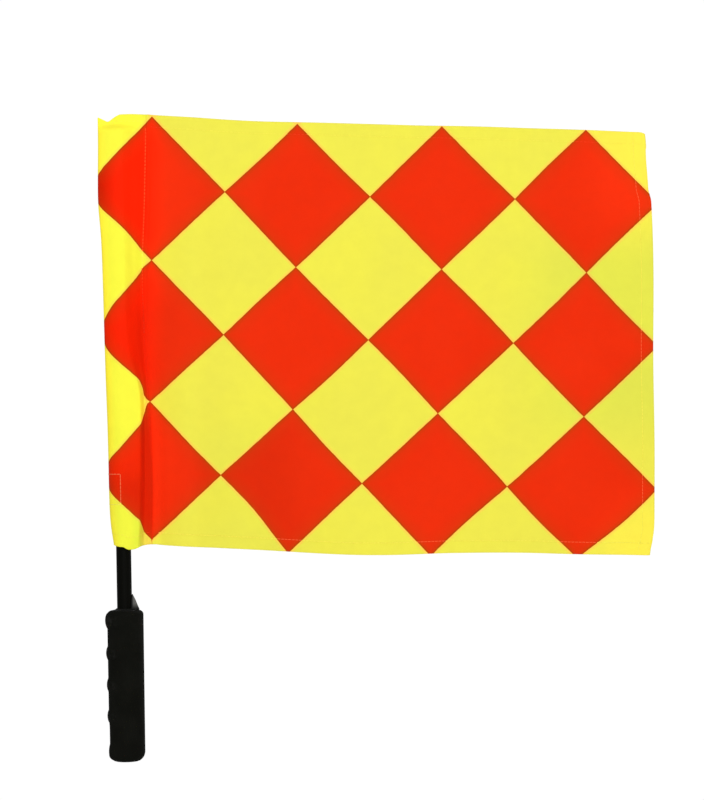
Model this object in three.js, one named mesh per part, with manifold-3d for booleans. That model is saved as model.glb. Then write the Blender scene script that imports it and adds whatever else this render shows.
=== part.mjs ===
// A linesman's hand flag: a swivelling handle, a slim tubular shaft and a cloth
// whose sewn pocket drops over the shaft. Millimetres, +Z along the shaft towards
// its tip, +X towards the free (fly) edge of the cloth. The origin lies on the
// shaft axis at the middle of the grip.
import * as THREE from 'three';
import * as BufferGeometryUtils from 'three/addons/utils/BufferGeometryUtils.js';
import Module from 'manifold-3d';

const wasm = await Module();
wasm.setup();

// ---------------------------------------------------------------- dimensions
// shaft
const SHAFT_OD = 12.2;
const SHAFT_ID = 9.6;
const SHAFT_BOTTOM = -50.8;
const SHAFT_TOP = 449.0;
const TIP_DOME = 3.2; // rise of the tip cap above the end of the tube
const TIP_SPIGOT = 12; // length of the cap's spigot inside the tube
const FIT = 0.3; // running or assembly gap between neighbouring pieces

// grip
const GRIP_R = 14.35;
const GRIP_BOTTOM = -61.2;
const GRIP_TOP = 61.2;
const GRIP_BORE = 20.6;
const GRIP_TOP_CORNER = 3.6;
const GRIP_BOTTOM_CORNER = 4.2;
const RIDGE_Z = [53.1, 26.6, 0.7, -24.9, -54.2]; // centres of the finger ridges
const RIDGE_OUT = [1.75, 1.35, 1.2, 1.15, 0.95]; // how far each stands out
const RIDGE_HALF = [6.6, 5.6, 5.4, 5.4, 6.6]; // half height of each ridge

// moulded core and the bearings in it
const CORE_OD = 20.0;
const CORE_ID = 16.0;
const CORE_BOTTOM = -48.0;
const CORE_TOP = 58.0;
const BUSH_BORE = SHAFT_OD + 2 * FIT;
const BUSH_OD = CORE_ID - 2 * FIT;
const LOWER_BUSH_TOP = -38.0;
const LOWER_FLANGE = 2.5; // thickness of the lower bush's flange
const LOWER_FLANGE_OD = 19.6;
const NECK_SPIGOT_BOTTOM = 47.0;
const NECK_FOOT_R = 10.0;
const NECK_TOP = 62.9;
const FIN_HALF_WIDTH = 3.2; // thumb fin, half its thickness along Y
const FIN_PROFILE = [ // outline of the thumb fin in X, Z
  [4.0, 61.5], [12.1, 61.5], [12.1, 62.2], [11.9, 62.7], [11.0, 64.6], [10.1, 66.9],
  [9.05, 69.6], [7.9, 72.0], [7.0, 73.6], [6.8, 74.4], [4.0, 74.4],
];

// axial stops of the shaft
const COLLAR_OD = 15.2;
const COLLAR_Z = [-37.7, -31.7];
const WASHER = { od: 16.4, id: 4.4, top: -51.1, thick: 1.2 };
const PLUG = { top: -28.0, hole: 3.2, depth: 16.0 };
const SCREW = { shank: 2.6, length: 12.5, head: 7.0, headHeight: 2.2, slot: 0.9, slotDepth: 1.1 };
const CAP = { od: 20.0, id: 17.4, bottom: -61.8, floor: 2.4, top: -51.1, corner: 0.8, lip: 0.5 };

// hook-and-loop patches that hold the cloth to the shaft
const PATCH_Z = [148.0, 172.6];
const HOOK_R = [6.4, 8.1];
const LOOP_R = [8.4, 9.5];
const PATCH_HALF_ANGLE = THREE.MathUtils.degToRad(64);

// cloth
const CLOTH_T = 0.7; // thickness of the solid that stands for the cloth
const HINGE_X = 26.5; // fold line beside the pocket seam
const HINGE_Y = 2.5;
const SEAM_GAP = 0.6; // half the gap left along that fold line
const FLY_X = 433.6;
const CLOSE_FROM = 453.2; // the pocket's two layers come together above this height
const CLOSE_TO = 458.0;
const POCKET_CEILING = 452.9; // inside height of the pocket over the tip
// height, fold line X, seam line X, front bulge, back bulge
const POCKET = [
  [110.0, -6.8, 22.2, 10.6, 9.0],
  [124.0, -9.3, 22.8, 11.0, 10.2],
  [135.0, -10.6, 23.3, 11.3, 10.9],
  [160.0, -11.1, 24.2, 11.5, 11.2],
  [185.0, -11.1, 24.0, 11.3, 11.0],
  [215.0, -11.4, 22.8, 11.0, 9.4],
  [250.0, -12.2, 20.8, 10.0, 8.8],
  [285.0, -12.7, 18.8, 9.5, 8.4],
  [315.0, -13.0, 18.4, 9.6, 8.2],
  [350.0, -13.5, 19.4, 8.4, 7.9],
  [371.0, -14.2, 20.6, 8.1, 7.8],
  [388.0, -15.8, 21.5, 7.9, 7.7],
  [400.0, -16.1, 22.0, 7.8, 7.7],
  [415.0, -15.8, 22.5, 7.7, 7.6],
  [430.0, -15.4, 23.0, 7.6, 7.5],
  [447.0, -15.1, 23.8, 7.5, 7.4],
];
// height, X where the front layer starts to fall, X at the foot of the steep part, share of the fall by then
const FLANK = [
  [110.0, 12.0, 16.4, 0.82],
  [133.0, 13.8, 17.4, 0.84],
  [160.0, 14.8, 18.2, 0.85],
  [185.0, 15.2, 18.6, 0.85],
  [215.0, 16.2, 18.9, 0.84],
  [238.0, 16.0, 19.2, 0.78],
  [252.0, 13.0, 17.6, 0.62],
  [270.0, 7.5, 14.2, 0.55],
  [300.0, 5.5, 12.6, 0.54],
  [350.0, 5.5, 13.0, 0.53],
  [395.0, 5.0, 13.6, 0.51],
  [447.0, 5.0, 14.4, 0.50],
];
const BACK_DROP = [[110, 9.5], [185, 9.0], [285, 9.5], [350, 14], [447, 19]];
// pocket's top edge: X, Z
const POCKET_TOP = [[-15.6, 463.8], [-11.0, 461.7], [-6.8, 459.4], [-1.4, 463.4], [2.6, 465.7], [12.0, 466.0], [26.5, 465.4]];
// stitching
const THREAD_W = 0.6;
const THREAD_T = 0.35;
const HEM = 9.6; // width of the hems

// ------------------------------------------------------------------- colours
const mat = (color, roughness, metalness = 0) => new THREE.MeshStandardMaterial({ color, roughness, metalness });
const BLACK_FOAM = 0x121310;
const BLACK_PLASTIC = 0x0d0e0c;
const YELLOW = 0xf2ef3c;
const RED = 0xf02c10;

// ------------------------------------------------------------------- helpers
const group = new THREE.Group();
function add(name, geometry, material) {
  const mesh = new THREE.Mesh(geometry, material);
  mesh.name = name;
  group.add(mesh);
  return mesh;
}

// a closed profile of [radius, height] turned about Z
function turned(profile, segments = 36) {
  const pts = profile.map(([r, z]) => new THREE.Vector2(r, z));
  const area = THREE.ShapeUtils.area(pts);
  if (area < 0) pts.reverse();
  if (pts[0].x > 1e-9) pts.push(pts[0].clone());
  const g = new THREE.LatheGeometry(pts, segments);
  g.rotateX(Math.PI / 2);
  return g;
}

function ring(rIn, rOut, z0, z1, segments) {
  return turned([[rIn, z0], [rOut, z0], [rOut, z1], [rIn, z1]], segments);
}

function toManifold(geometry) {
  const g = geometry.clone();
  g.deleteAttribute('normal');
  g.deleteAttribute('uv');
  const m = BufferGeometryUtils.mergeVertices(g, 1e-5);
  return new wasm.Manifold(new wasm.Mesh({
    numProp: 3,
    vertProperties: Float32Array.from(m.attributes.position.array),
    triVerts: Uint32Array.from(m.index.array),
  }));
}

function fromManifold(solid) {
  const m = solid.getMesh();
  const g = new THREE.BufferGeometry();
  g.setAttribute('position', new THREE.BufferAttribute(Float32Array.from(m.vertProperties), 3));
  g.setIndex(Array.from(m.triVerts));
  g.computeVertexNormals();
  return g;
}

// linear interpolation in a table whose first column rises
function table(rows, x, column = 1) {
  if (x <= rows[0][0]) return rows[0][column];
  for (let i = 1; i < rows.length; i++) {
    if (x <= rows[i][0]) {
      const a = rows[i - 1], b = rows[i];
      const t = (x - a[0]) / (b[0] - a[0]);
      return a[column] + t * (b[column] - a[column]);
    }
  }
  return rows[rows.length - 1][column];
}

const gauss = (x, c, w) => Math.exp(-(((x - c) / w) ** 2));
const smooth = (a, b, x) => {
  const t = Math.min(1, Math.max(0, (x - a) / (b - a)));
  return t * t * (3 - 2 * t);
};

function indexed(points, faces) {
  const g = new THREE.BufferGeometry();
  g.setAttribute('position', new THREE.Float32BufferAttribute(points.flat(), 3));
  g.setIndex(faces.flat());
  g.computeVertexNormals();
  return g;
}

// a thin solid between two grids of points, front[i][j] and back[i][j];
// with i running towards +X and j upwards, front is the side towards -Y
function slab(front, back) {
  const ni = front.length, nj = front[0].length;
  const points = [...front.flat(), ...back.flat()];
  const f = (i, j) => i * nj + j;
  const b = (i, j) => ni * nj + i * nj + j;
  const faces = [];
  const quad = (p, q, r, s) => faces.push([p, q, r], [p, r, s]);
  for (let i = 0; i < ni - 1; i++) {
    for (let j = 0; j < nj - 1; j++) {
      quad(f(i, j), f(i + 1, j), f(i + 1, j + 1), f(i, j + 1));
      quad(b(i, j), b(i, j + 1), b(i + 1, j + 1), b(i + 1, j));
    }
    quad(f(i, 0), b(i, 0), b(i + 1, 0), f(i + 1, 0));
    quad(f(i, nj - 1), f(i + 1, nj - 1), b(i + 1, nj - 1), b(i, nj - 1));
  }
  for (let j = 0; j < nj - 1; j++) {
    quad(f(0, j), f(0, j + 1), b(0, j + 1), b(0, j));
    quad(f(ni - 1, j), b(ni - 1, j), b(ni - 1, j + 1), f(ni - 1, j + 1));
  }
  return indexed(points, faces);
}

// -------------------------------------------------------------------- handle
// moulded core tube that the grip is bonded to
add('handle_core', ring(CORE_ID / 2, CORE_OD / 2, CORE_BOTTOM, CORE_TOP, 36), mat(BLACK_PLASTIC, 0.5));

// soft grip: plain round on the palm side, five finger ridges on the other side
function gripRadius(theta, z) {
  const side = Math.max(0, Math.cos(theta - Math.PI)); // 1 at -X, 0 at the sides
  const fade = smooth(0.12, 0.62, side);
  let r = GRIP_R;
  for (let k = 0; k < RIDGE_Z.length; k++) {
    const d = Math.abs(z - RIDGE_Z[k]);
    r += RIDGE_OUT[k] * fade * Math.max(0, 1 - (d / RIDGE_HALF[k]) ** 2.2);
  }
  // the palm side flares slightly towards the top, and both sides draw in at the foot
  const palm = Math.max(0, Math.cos(theta));
  r += (0.72 + 0.0035 * z - 1.3 * (1 - smooth(-60.5, -54, z))) * palm - 0.5 * side * (1 - smooth(-36, -24, z));
  return r;
}
{
  const N = 36;
  const levels = [];
  const bottomArc = [0, 0.35, 0.7, 1].map((t) => t * Math.PI / 2);
  for (const a of bottomArc) levels.push({ z: GRIP_BOTTOM + GRIP_BOTTOM_CORNER * (1 - Math.cos(a)), inset: GRIP_BOTTOM_CORNER * (1 - Math.sin(a)) });
  for (let k = RIDGE_Z.length - 1; k >= 0; k--) {
    for (const s of [-1, -0.7, -0.3, 0.3, 0.7, 1]) {
      const z = RIDGE_Z[k] + s * RIDGE_HALF[k];
      if (z > GRIP_BOTTOM + GRIP_BOTTOM_CORNER + 0.4 && z < GRIP_TOP - GRIP_TOP_CORNER - 0.4) levels.push({ z, inset: 0 });
    }
  }
  const topArc = [1, 0.6, 0.25, 0].map((t) => t * Math.PI / 2);
  for (const a of topArc) levels.push({ z: GRIP_TOP - GRIP_TOP_CORNER * (1 - Math.cos(a)), inset: GRIP_TOP_CORNER * (1 - Math.sin(a)) });
  const points = [];
  const faces = [];
  const rows = levels.length + 2;
  for (const { z, inset } of levels) {
    for (let i = 0; i < N; i++) {
      const th = (i / N) * 2 * Math.PI;
      const r = Math.max(gripRadius(th, z) - inset, GRIP_BORE / 2 + 0.65);
      points.push([r * Math.cos(th), r * Math.sin(th), z]);
    }
  }
  for (const z of [GRIP_TOP, GRIP_BOTTOM]) {
    for (let i = 0; i < N; i++) {
      const th = (i / N) * 2 * Math.PI;
      points.push([(GRIP_BORE / 2) * Math.cos(th), (GRIP_BORE / 2) * Math.sin(th), z]);
    }
  }
  for (let j = 0; j < rows; j++) {
    const k = (j + 1) % rows;
    for (let i = 0; i < N; i++) {
      const n = (i + 1) % N;
      faces.push([j * N + i, j * N + n, k * N + n], [j * N + i, k * N + n, k * N + i]);
    }
  }
  add('grip_sleeve', indexed(points, faces), mat(BLACK_FOAM, 0.85));
}

// upper bearing: a bush whose head closes the grip's mouth and carries the thumb fin
{
  const bore = BUSH_BORE / 2;
  const head = turned([
    [4.0, NECK_SPIGOT_BOTTOM], [BUSH_OD / 2, NECK_SPIGOT_BOTTOM], [BUSH_OD / 2, CORE_TOP + FIT],
    [NECK_FOOT_R, CORE_TOP + FIT], [NECK_FOOT_R, GRIP_TOP + 0.3], [9.0, GRIP_TOP + 0.45], [8.2, GRIP_TOP + 0.65],
    [7.5, GRIP_TOP + 0.9], [7.1, GRIP_TOP + 1.3], [6.95, NECK_TOP], [4.0, NECK_TOP],
  ]);
  const outline = new THREE.Shape(FIN_PROFILE.map(([x, z]) => new THREE.Vector2(x, z)));
  const fin = new THREE.ExtrudeGeometry(outline, { depth: 2 * FIN_HALF_WIDTH, bevelEnabled: false });
  fin.rotateX(Math.PI / 2);
  fin.translate(0, FIN_HALF_WIDTH, 0);
  const drill = turned([[0, 40], [bore, 40], [bore, 90], [0, 90]]);
  const solid = toManifold(head).add(toManifold(fin)).subtract(toManifold(drill));
  add('neck_collar', fromManifold(solid), mat(BLACK_PLASTIC, 0.35));
}

// lower bearing, flanged against the foot of the core
add('lower_bush', turned([
  [BUSH_BORE / 2, CORE_BOTTOM - FIT - LOWER_FLANGE], [LOWER_FLANGE_OD / 2, CORE_BOTTOM - FIT - LOWER_FLANGE],
  [LOWER_FLANGE_OD / 2, CORE_BOTTOM - FIT], [BUSH_OD / 2, CORE_BOTTOM - FIT],
  [BUSH_OD / 2, LOWER_BUSH_TOP], [BUSH_BORE / 2, LOWER_BUSH_TOP],
]), mat(0xd8d6cc, 0.5));

// cap that closes the butt of the grip, flat underneath
add('end_cap', turned([
  [0, CAP.bottom], [CAP.od / 2 - CAP.corner, CAP.bottom], [CAP.od / 2, CAP.bottom + CAP.corner],
  [CAP.od / 2, CAP.top], [CAP.id / 2, CAP.top], [CAP.id / 2, CAP.bottom + CAP.floor], [0, CAP.bottom + CAP.floor],
]), mat(BLACK_PLASTIC, 0.45));

// --------------------------------------------------------------------- shaft
add('shaft_tube', ring(SHAFT_ID / 2, SHAFT_OD / 2, SHAFT_BOTTOM, SHAFT_TOP, 32), mat(BLACK_PLASTIC, 0.45));

{
  const r = SHAFT_OD / 2;
  const z0 = SHAFT_TOP + FIT;
  const dome = [];
  for (let k = 0; k <= 6; k++) {
    const a = (k / 6) * Math.PI / 2;
    dome.push([r * Math.cos(a), z0 + 1.0 + (TIP_DOME - 1.3) * Math.sin(a)]);
  }
  dome[dome.length - 1][0] = 0;
  add('shaft_tip_cap', turned([
    [0, SHAFT_TOP - TIP_SPIGOT], [SHAFT_ID / 2 - FIT, SHAFT_TOP - TIP_SPIGOT], [SHAFT_ID / 2 - FIT, z0], [r, z0], ...dome,
  ], 32), mat(BLACK_PLASTIC, 0.5));
}

// plug pressed into the foot of the tube, drilled for the retaining screw
add('shaft_end_plug', turned([
  [PLUG.hole / 2, SHAFT_BOTTOM], [SHAFT_ID / 2 - FIT, SHAFT_BOTTOM], [SHAFT_ID / 2 - FIT, PLUG.top], [0, PLUG.top],
  [0, SHAFT_BOTTOM + PLUG.depth], [PLUG.hole / 2, SHAFT_BOTTOM + PLUG.depth],
].reverse().reverse(), 24), mat(0x2a2b28, 0.6));

// ring bonded to the shaft: it carries the shaft on the lower bush
add('thrust_collar', ring(SHAFT_OD / 2 + FIT * 0.5, COLLAR_OD / 2, COLLAR_Z[0], COLLAR_Z[1], 32), mat(0xd8d6cc, 0.5));

add('retaining_washer', ring(WASHER.id / 2, WASHER.od / 2, WASHER.top - WASHER.thick, WASHER.top, 28), mat(0xb9bcbe, 0.35, 1));

{
  const top = WASHER.top - WASHER.thick - FIT; // underside of the washer
  const h = SCREW.headHeight;
  const r = SCREW.head / 2;
  const body = turned([
    [0, top - h], [r * 0.62, top - h], [r * 0.88, top - h * 0.72], [r, top - h * 0.35], [r, top],
    [SCREW.shank / 2, top], [SCREW.shank / 2, top + SCREW.length - 1.2], [SCREW.shank / 4, top + SCREW.length], [0, top + SCREW.length],
  ], 24);
  const slotA = new THREE.BoxGeometry(r * 1.25, SCREW.slot, SCREW.slotDepth * 2).translate(0, 0, top - h);
  const slotB = new THREE.BoxGeometry(SCREW.slot, r * 1.25, SCREW.slotDepth * 2).translate(0, 0, top - h);
  const solid = toManifold(body).subtract(toManifold(slotA)).subtract(toManifold(slotB));
  add('retaining_screw', fromManifold(solid), mat(0xb9bcbe, 0.3, 1));
}

// a curved pad that hugs the -X side of the shaft
function pad(r0, r1, z0, z1, halfAngle, steps) {
  const front = [], back = [];
  const shape = new THREE.Shape();
  for (let i = 0; i <= steps; i++) {
    const a = Math.PI - halfAngle + (i / steps) * 2 * halfAngle;
    front.push([r1 * Math.cos(a), r1 * Math.sin(a)]);
    back.push([r0 * Math.cos(a), r0 * Math.sin(a)]);
  }
  const loop = [...front, ...back.reverse()];
  loop.forEach(([x, y], i) => (i ? shape.lineTo(x, y) : shape.moveTo(x, y)));
  shape.closePath();
  return new THREE.ExtrudeGeometry(shape, { depth: z1 - z0, bevelEnabled: false }).translate(0, 0, z0);
}
add('hook_patch', pad(HOOK_R[0], HOOK_R[1], PATCH_Z[0], PATCH_Z[1], PATCH_HALF_ANGLE, 14), mat(0x151614, 0.95));
add('loop_patch', pad(LOOP_R[0], LOOP_R[1], PATCH_Z[0] + 0.6, PATCH_Z[1] - 0.6, PATCH_HALF_ANGLE * 0.96, 14), mat(0x1b1c1a, 1.0));

// --------------------------------------------------------------------- cloth
// the cloth droops a little towards its fly edge
const droop = (x) => -0.04 * (x - HINGE_X) - 2.9 * (1 - Math.exp(-(x - HINGE_X) / 50));
const topEdge = (x) => 465.4 + droop(x) - 0.8 * smooth(60, 130, x) - 0.7 * smooth(270, 350, x) - 0.9 * smooth(380, 430, x)
  - 1.9 * smooth(427.5, 434, x);
const bottomEdge = (x) => 114.6 + droop(x) - 1.9 * gauss(x, 190, 70) + 1.4 * gauss(x, 340, 60) + 1.5 * smooth(215, 270, x)
  + 1.5 * smooth(352, 420, x) + 1.1 * smooth(428, 434, x) + 0.45 * gauss(x, 62, 26) + 0.4 * gauss(x, 226, 26);
const flyEdge = (z) => FLY_X + 3.0 * gauss(z, 340, 80) + 1.4 * gauss(z, 200, 60) - 4.6 * gauss(z, 97, 15)
  - 2.0 * smooth(387, 399, z) - 0.7 * smooth(400, 424, z) - 1.4 * gauss(z, 450, 8);

// soft standing folds; negative is towards the viewer of the front
function ripple(x, z) {
  const u = x - HINGE_X;
  const low = 1 - smooth(120, 440, z);
  const grow = smooth(0, 90, u);
  let y = 0;
  y += -(2.0 + 4.2 * low) * gauss(u, 27 + 6 * (1 - low), 19);
  y += (1.0 + 4.4 * low) * gauss(u, 80, 32);
  y += grow * 2.6 * Math.sin((2 * Math.PI * (u - 40 + 0.16 * (z - 280))) / 168);
  y += grow * 1.7 * Math.sin((2 * Math.PI * (u + 0.42 * (z - 110))) / 250 + 1.1);
  y += -4.5 * smooth(300, 415, u) * (0.35 + 0.65 * smooth(150, 440, z));
  y += 3.2 * smooth(330, 415, u) * (1 - smooth(110, 300, z));
  return HINGE_Y + y * smooth(0, 10, u);
}

// outer half of the pocket's section: from the fold (u = 0) to the seam (u = 1)
// s = -1 is the front layer, s = +1 the back layer
function pocketPoint(u, z, s, inset) {
  const xf = table(POCKET, z, 1) + inset;
  const xs = table(POCKET, z, 2) - (inset > 0 ? 1.6 : 0);
  const close = 1 - smooth(CLOSE_FROM, CLOSE_TO, z); // the two layers meet above the tip
  const bulge = (table(POCKET, z, s < 0 ? 3 : 4) - inset) * close + (1 - close) * Math.max(0.85 - inset, 0.02);
  const xm = Math.min(1.0, xf + 14.5); // where the rounded fold ends
  const lean = inset > 0 ? 0.55 : 0; // keeps the steep part of the front layer as thick as the rest
  const xd = s < 0 ? Math.max(xm + 2.5, table(FLANK, z, 1) - lean) : Math.max(xm + 2.5, xs - table(BACK_DROP, z));
  let x, y;
  if (u < 0.45) {
    const a = (u / 0.45) * (Math.PI / 2);
    x = xm - (xm - xf) * Math.cos(a);
    y = bulge * Math.sin(a);
  } else if (u < 0.62) {
    const t = (u - 0.45) / 0.17;
    x = xm + (xd - xm) * t;
    y = bulge * (1 - 0.04 * t);
  } else {
    const t = (u - 0.62) / 0.38;
    if (s < 0) {
      // a steep upper part and a gentle lower part low down; one even slope near the closed top
      const steep = 1 - smooth(238, 272, z);
      const w = Math.min(t / 0.5, 1), f = Math.max((t - 0.5) / 0.5, 0);
      const ease = (q) => (1 - 0.6 * steep) * (q - 0.03 * Math.sin(2 * Math.PI * q)) + 0.6 * steep * smooth(0, 1, q);
      const foot = table(FLANK, z, 2) - lean;
      const share = table(FLANK, z, 3);
      x = xd + (foot - xd) * w + (xs - foot) * f;
      y = bulge * 0.96 * (1 - share * ease(w) - (1 - share) * ease(f));
    } else {
      x = xd + (xs - xd) * (t * 0.82 + 0.18 * t * t);
      y = bulge * 0.96 * (1 - smooth(0, 1, t));
    }
  }
  const shift = HINGE_Y * smooth(xm, xs, x) * close + (1 - close) * HINGE_Y * smooth(-10, 26, x);
  const half = CLOTH_T / 2 - (inset > 0 ? 0.2 : 0);
  return [x, s * Math.max(y, half) + shift, z];
}
const pocketBottom = (x, s) => 113.75 + 1.2 * gauss(x, -8.6, 4) - (s < 0 ? 2.3 : 1.3) * smooth(0, 5, x) * (1 - smooth(8, 16.5, x))
  + 1.1 * smooth(12, 22, x);

{
  const NU = 15;
  const zs = [0, 124, 135, 160, 172, 185, 215, 238, 252, 270, 300, 350, 371, 388, 400, 415, 430, 447, CLOSE_FROM, 455.6];
  const us = Array.from({ length: NU + 1 }, (_, i) => [0, 0.07, 0.14, 0.21, 0.28, 0.36, 0.45, 0.54, 0.62, 0.67, 0.72, 0.765, 0.81, 0.87, 0.935, 1][i]);
  // one loop at a level: front from seam to fold, then back from fold to seam
  const loopAt = (level, inset, topZ) => {
    const pts = [];
    const one = (u, s) => {
      let z = level;
      if (level === 0) {
        const x = pocketPoint(u, 112, s, inset)[0];
        z = pocketBottom(x, s);
      }
      const p = pocketPoint(u, z, s, inset);
      if (topZ) p[2] = topZ(p[0]);
      return p;
    };
    for (let i = NU; i >= 0; i--) pts.push(one(us[i], -1));
    for (let i = 1; i <= NU; i++) pts.push(one(us[i], 1));
    return pts;
  };
  const outer = zs.map((z) => loopAt(z, 0));
  outer.push(loopAt(CLOSE_TO, 0));
  outer.push(loopAt(CLOSE_TO, 0, (x) => table(POCKET_TOP, x)));
  const inner = zs.slice(0, 18).map((z) => loopAt(z, CLOTH_T));
  inner.push(loopAt(POCKET_CEILING, CLOTH_T));
  const n = outer[0].length;
  const points = [...outer.flat(), ...inner.flat()];
  const O = (k, i) => k * n + (i % n);
  const I = (k, i) => outer.length * n + k * n + (i % n);
  const faces = [];
  const quad = (a, b, c, d) => faces.push([a, b, c], [a, c, d]);
  for (let i = 0; i < n; i++) {
    for (let k = 0; k < outer.length - 1; k++) quad(O(k, i + 1), O(k, i), O(k + 1, i), O(k + 1, i + 1));
    for (let k = 0; k < inner.length - 1; k++) quad(I(k, i), I(k, i + 1), I(k + 1, i + 1), I(k + 1, i));
    quad(O(0, i), O(0, i + 1), I(0, i + 1), I(0, i));
  }
  // lids: the front and back halves of a loop mirror each other
  const lid = (P, k, up) => {
    for (let i = 0; i < NU; i++) {
      const a = P(k, i), b = P(k, i + 1), c = P(k, n - 1 - (i + 1) + 0), d = P(k, n - 1 - i);
      if (i === NU - 1) { up ? faces.push([d, b, a]) : faces.push([a, b, d]); } else if (up) quad(a, d, c, b); else quad(a, b, c, d);
    }
  };
  lid(O, outer.length - 1, true);
  lid(I, inner.length - 1, false);
  const tube = indexed(points, faces);
  // flat lip of two sewn layers between the seam and the fold line
  const front = [], back = [];
  const lipZ = [null, 135, 160, 185, 215, 250, 270, 300, 350, 388, 415, 447, 'top'];
  for (let i = 0; i < 5; i++) {
    const f = [], b = [];
    for (const zz of lipZ) {
      const z = zz === null ? 114.8 : zz === 'top' ? 465.4 : zz;
      const xs = table(POCKET, z, 2) - 1.2;
      const x = xs + (HINGE_X - SEAM_GAP - xs) * (i / 4);
      f.push([x, HINGE_Y - CLOTH_T / 2, z]);
      b.push([x, HINGE_Y + CLOTH_T / 2, z]);
    }
    front.push(f);
    back.push(b);
  }
  const solid = toManifold(tube).add(toManifold(slab(front, back)));
  add('pole_pocket', fromManifold(solid), mat(YELLOW, 0.8));
}

// free panel of the cloth, from the fold line to the fly edge
{
  const xs = [0, 0.02, 0.045, 0.075, 0.11, 0.15, 0.19, 0.24, 0.29, 0.34, 0.4, 0.46, 0.52, 0.58, 0.64, 0.7, 0.76, 0.82, 0.88, 0.94, 1];
  const ts = [0, 0.03, 0.12, 0.25, 0.38, 0.5, 0.62, 0.75, 0.88, 0.97, 1];
  const front = [], back = [];
  for (const s of xs) {
    const f = [], b = [];
    for (const t of ts) {
      const z0 = bottomEdge(FLY_X * s) + (topEdge(FLY_X * s) - bottomEdge(FLY_X * s)) * t;
      const x0 = HINGE_X + SEAM_GAP;
      const x = x0 + (flyEdge(z0) - x0) * s;
      const z = bottomEdge(x) + (topEdge(x) - bottomEdge(x)) * t;
      const y = ripple(x, z);
      f.push([x, y - CLOTH_T / 2, z]);
      b.push([x, y + CLOTH_T / 2, z]);
    }
    front.push(f);
    back.push(b);
  }
  add('flag_panel', slab(front, back), mat(RED, 0.8));
}

// a row of stitching laid on the front of the cloth along x(t), z(t)
function stitchRow(path, alongX) {
  const front = [], back = [];
  const gap = 0.12;
  for (const [x, z, y] of path) {
    const row = [], rowB = [];
    for (const e of [-1, 1]) {
      const xx = alongX ? x : x + (e * THREAD_W) / 2;
      const zz = alongX ? z + (e * THREAD_W) / 2 : z;
      row.push([xx, y - CLOTH_T / 2 - gap - THREAD_T, zz]);
      rowB.push([xx, y - CLOTH_T / 2 - gap, zz]);
    }
    front.push(row);
    back.push(rowB);
  }
  return alongX ? slab(front, back) : slab(transpose(front), transpose(back));
}
function transpose(grid) {
  return grid[0].map((_, j) => grid.map((col) => col[j]));
}
{
  const zs = [116.5, 124, 135, 160, 185, 215, 250, 285, 315, 350, 371, 388, 415, 430, 452];
  const path = zs.map((z) => [table(POCKET, z, 2) + 1.0, z, HINGE_Y]);
  add('pocket_seam_thread', stitchRow(path, false), mat(YELLOW, 0.6));
}
// stitching that holds the loop patch: a box wrapped round the fold of the pocket
{
  const wrap = (s) => {
    const path = [];
    for (const u of [0.06, 0.16, 0.26, 0.36, 0.44]) path.push(u);
    return path;
  };
  const bars = [];
  for (const s of [-1, 1]) {
    const us = wrap(s);
    const strip = (z0, z1, list) => {
      const near = [], far = [];
      for (const u of list) {
        const rowN = [], rowF = [];
        for (const z of [z0, z1]) {
          const p = pocketPoint(u, z, s, 0);
          const xf = table(POCKET, z, 1);
          const xm = Math.min(1.0, xf + 14.5);
          const a = (Math.min(u, 0.45) / 0.45) * (Math.PI / 2);
          const n = [-Math.cos(a), s * Math.sin(a)];
          rowN.push([p[0] + n[0] * 0.15, p[1] + n[1] * 0.15, z]);
          rowF.push([p[0] + n[0] * (0.15 + THREAD_T), p[1] + n[1] * (0.15 + THREAD_T), z]);
        }
        near.push(rowN);
        far.push(rowF);
      }
      return s < 0 ? slab(far, near) : slab(near, far);
    };
    bars.push([s, strip(PATCH_Z[0], PATCH_Z[0] + THREAD_W, us)]);
    bars.push([s, strip(PATCH_Z[1] - THREAD_W, PATCH_Z[1], us)]);
    bars.push([s, strip(PATCH_Z[0], PATCH_Z[1], [0.395, 0.42])]);
  }
  for (const s of [-1, 1]) {
    let solid = null;
    for (const [side, g] of bars) {
      if (side !== s) continue;
      solid = solid ? solid.add(toManifold(g)) : toManifold(g);
    }
    add(s < 0 ? 'patch_stitch_front' : 'patch_stitch_back', fromManifold(solid), mat(YELLOW, 0.6));
  }
}
{
  const steps = 26;
  const rows = { top: [], bottom: [] };
  for (let i = 0; i <= steps; i++) {
    const x = HINGE_X + 2 + (FLY_X - HEM - HINGE_X - 3) * (i / steps);
    for (const side of ['top', 'bottom']) {
      const z = side === 'top' ? topEdge(x) - HEM : bottomEdge(x) + HEM;
      rows[side].push([x, z, ripple(x, z) - 0.5]);
    }
  }
  add('top_hem_thread', stitchRow(rows.top, true), mat(YELLOW, 0.6));
  add('bottom_hem_thread', stitchRow(rows.bottom, true), mat(YELLOW, 0.6));
  const fly = [];
  for (let i = 0; i <= 14; i++) {
    const z = 112 + (432 - 112) * (i / 14);
    const x = flyEdge(z) - HEM + 0.8;
    fly.push([x, z, ripple(x, z) - 0.6]);
  }
  add('fly_hem_thread', stitchRow(fly, false), mat(YELLOW, 0.6));
}

export default group;
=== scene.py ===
"""Visual model of a linesman's hand flag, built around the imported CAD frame.

Lengths in the tables are millimetres and are turned into metres when a mesh is
made. +Z runs along the shaft to its tip and +X to the fly edge of the cloth.
"""
import math

import bpy
import numpy as np
from mathutils import Matrix


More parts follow.
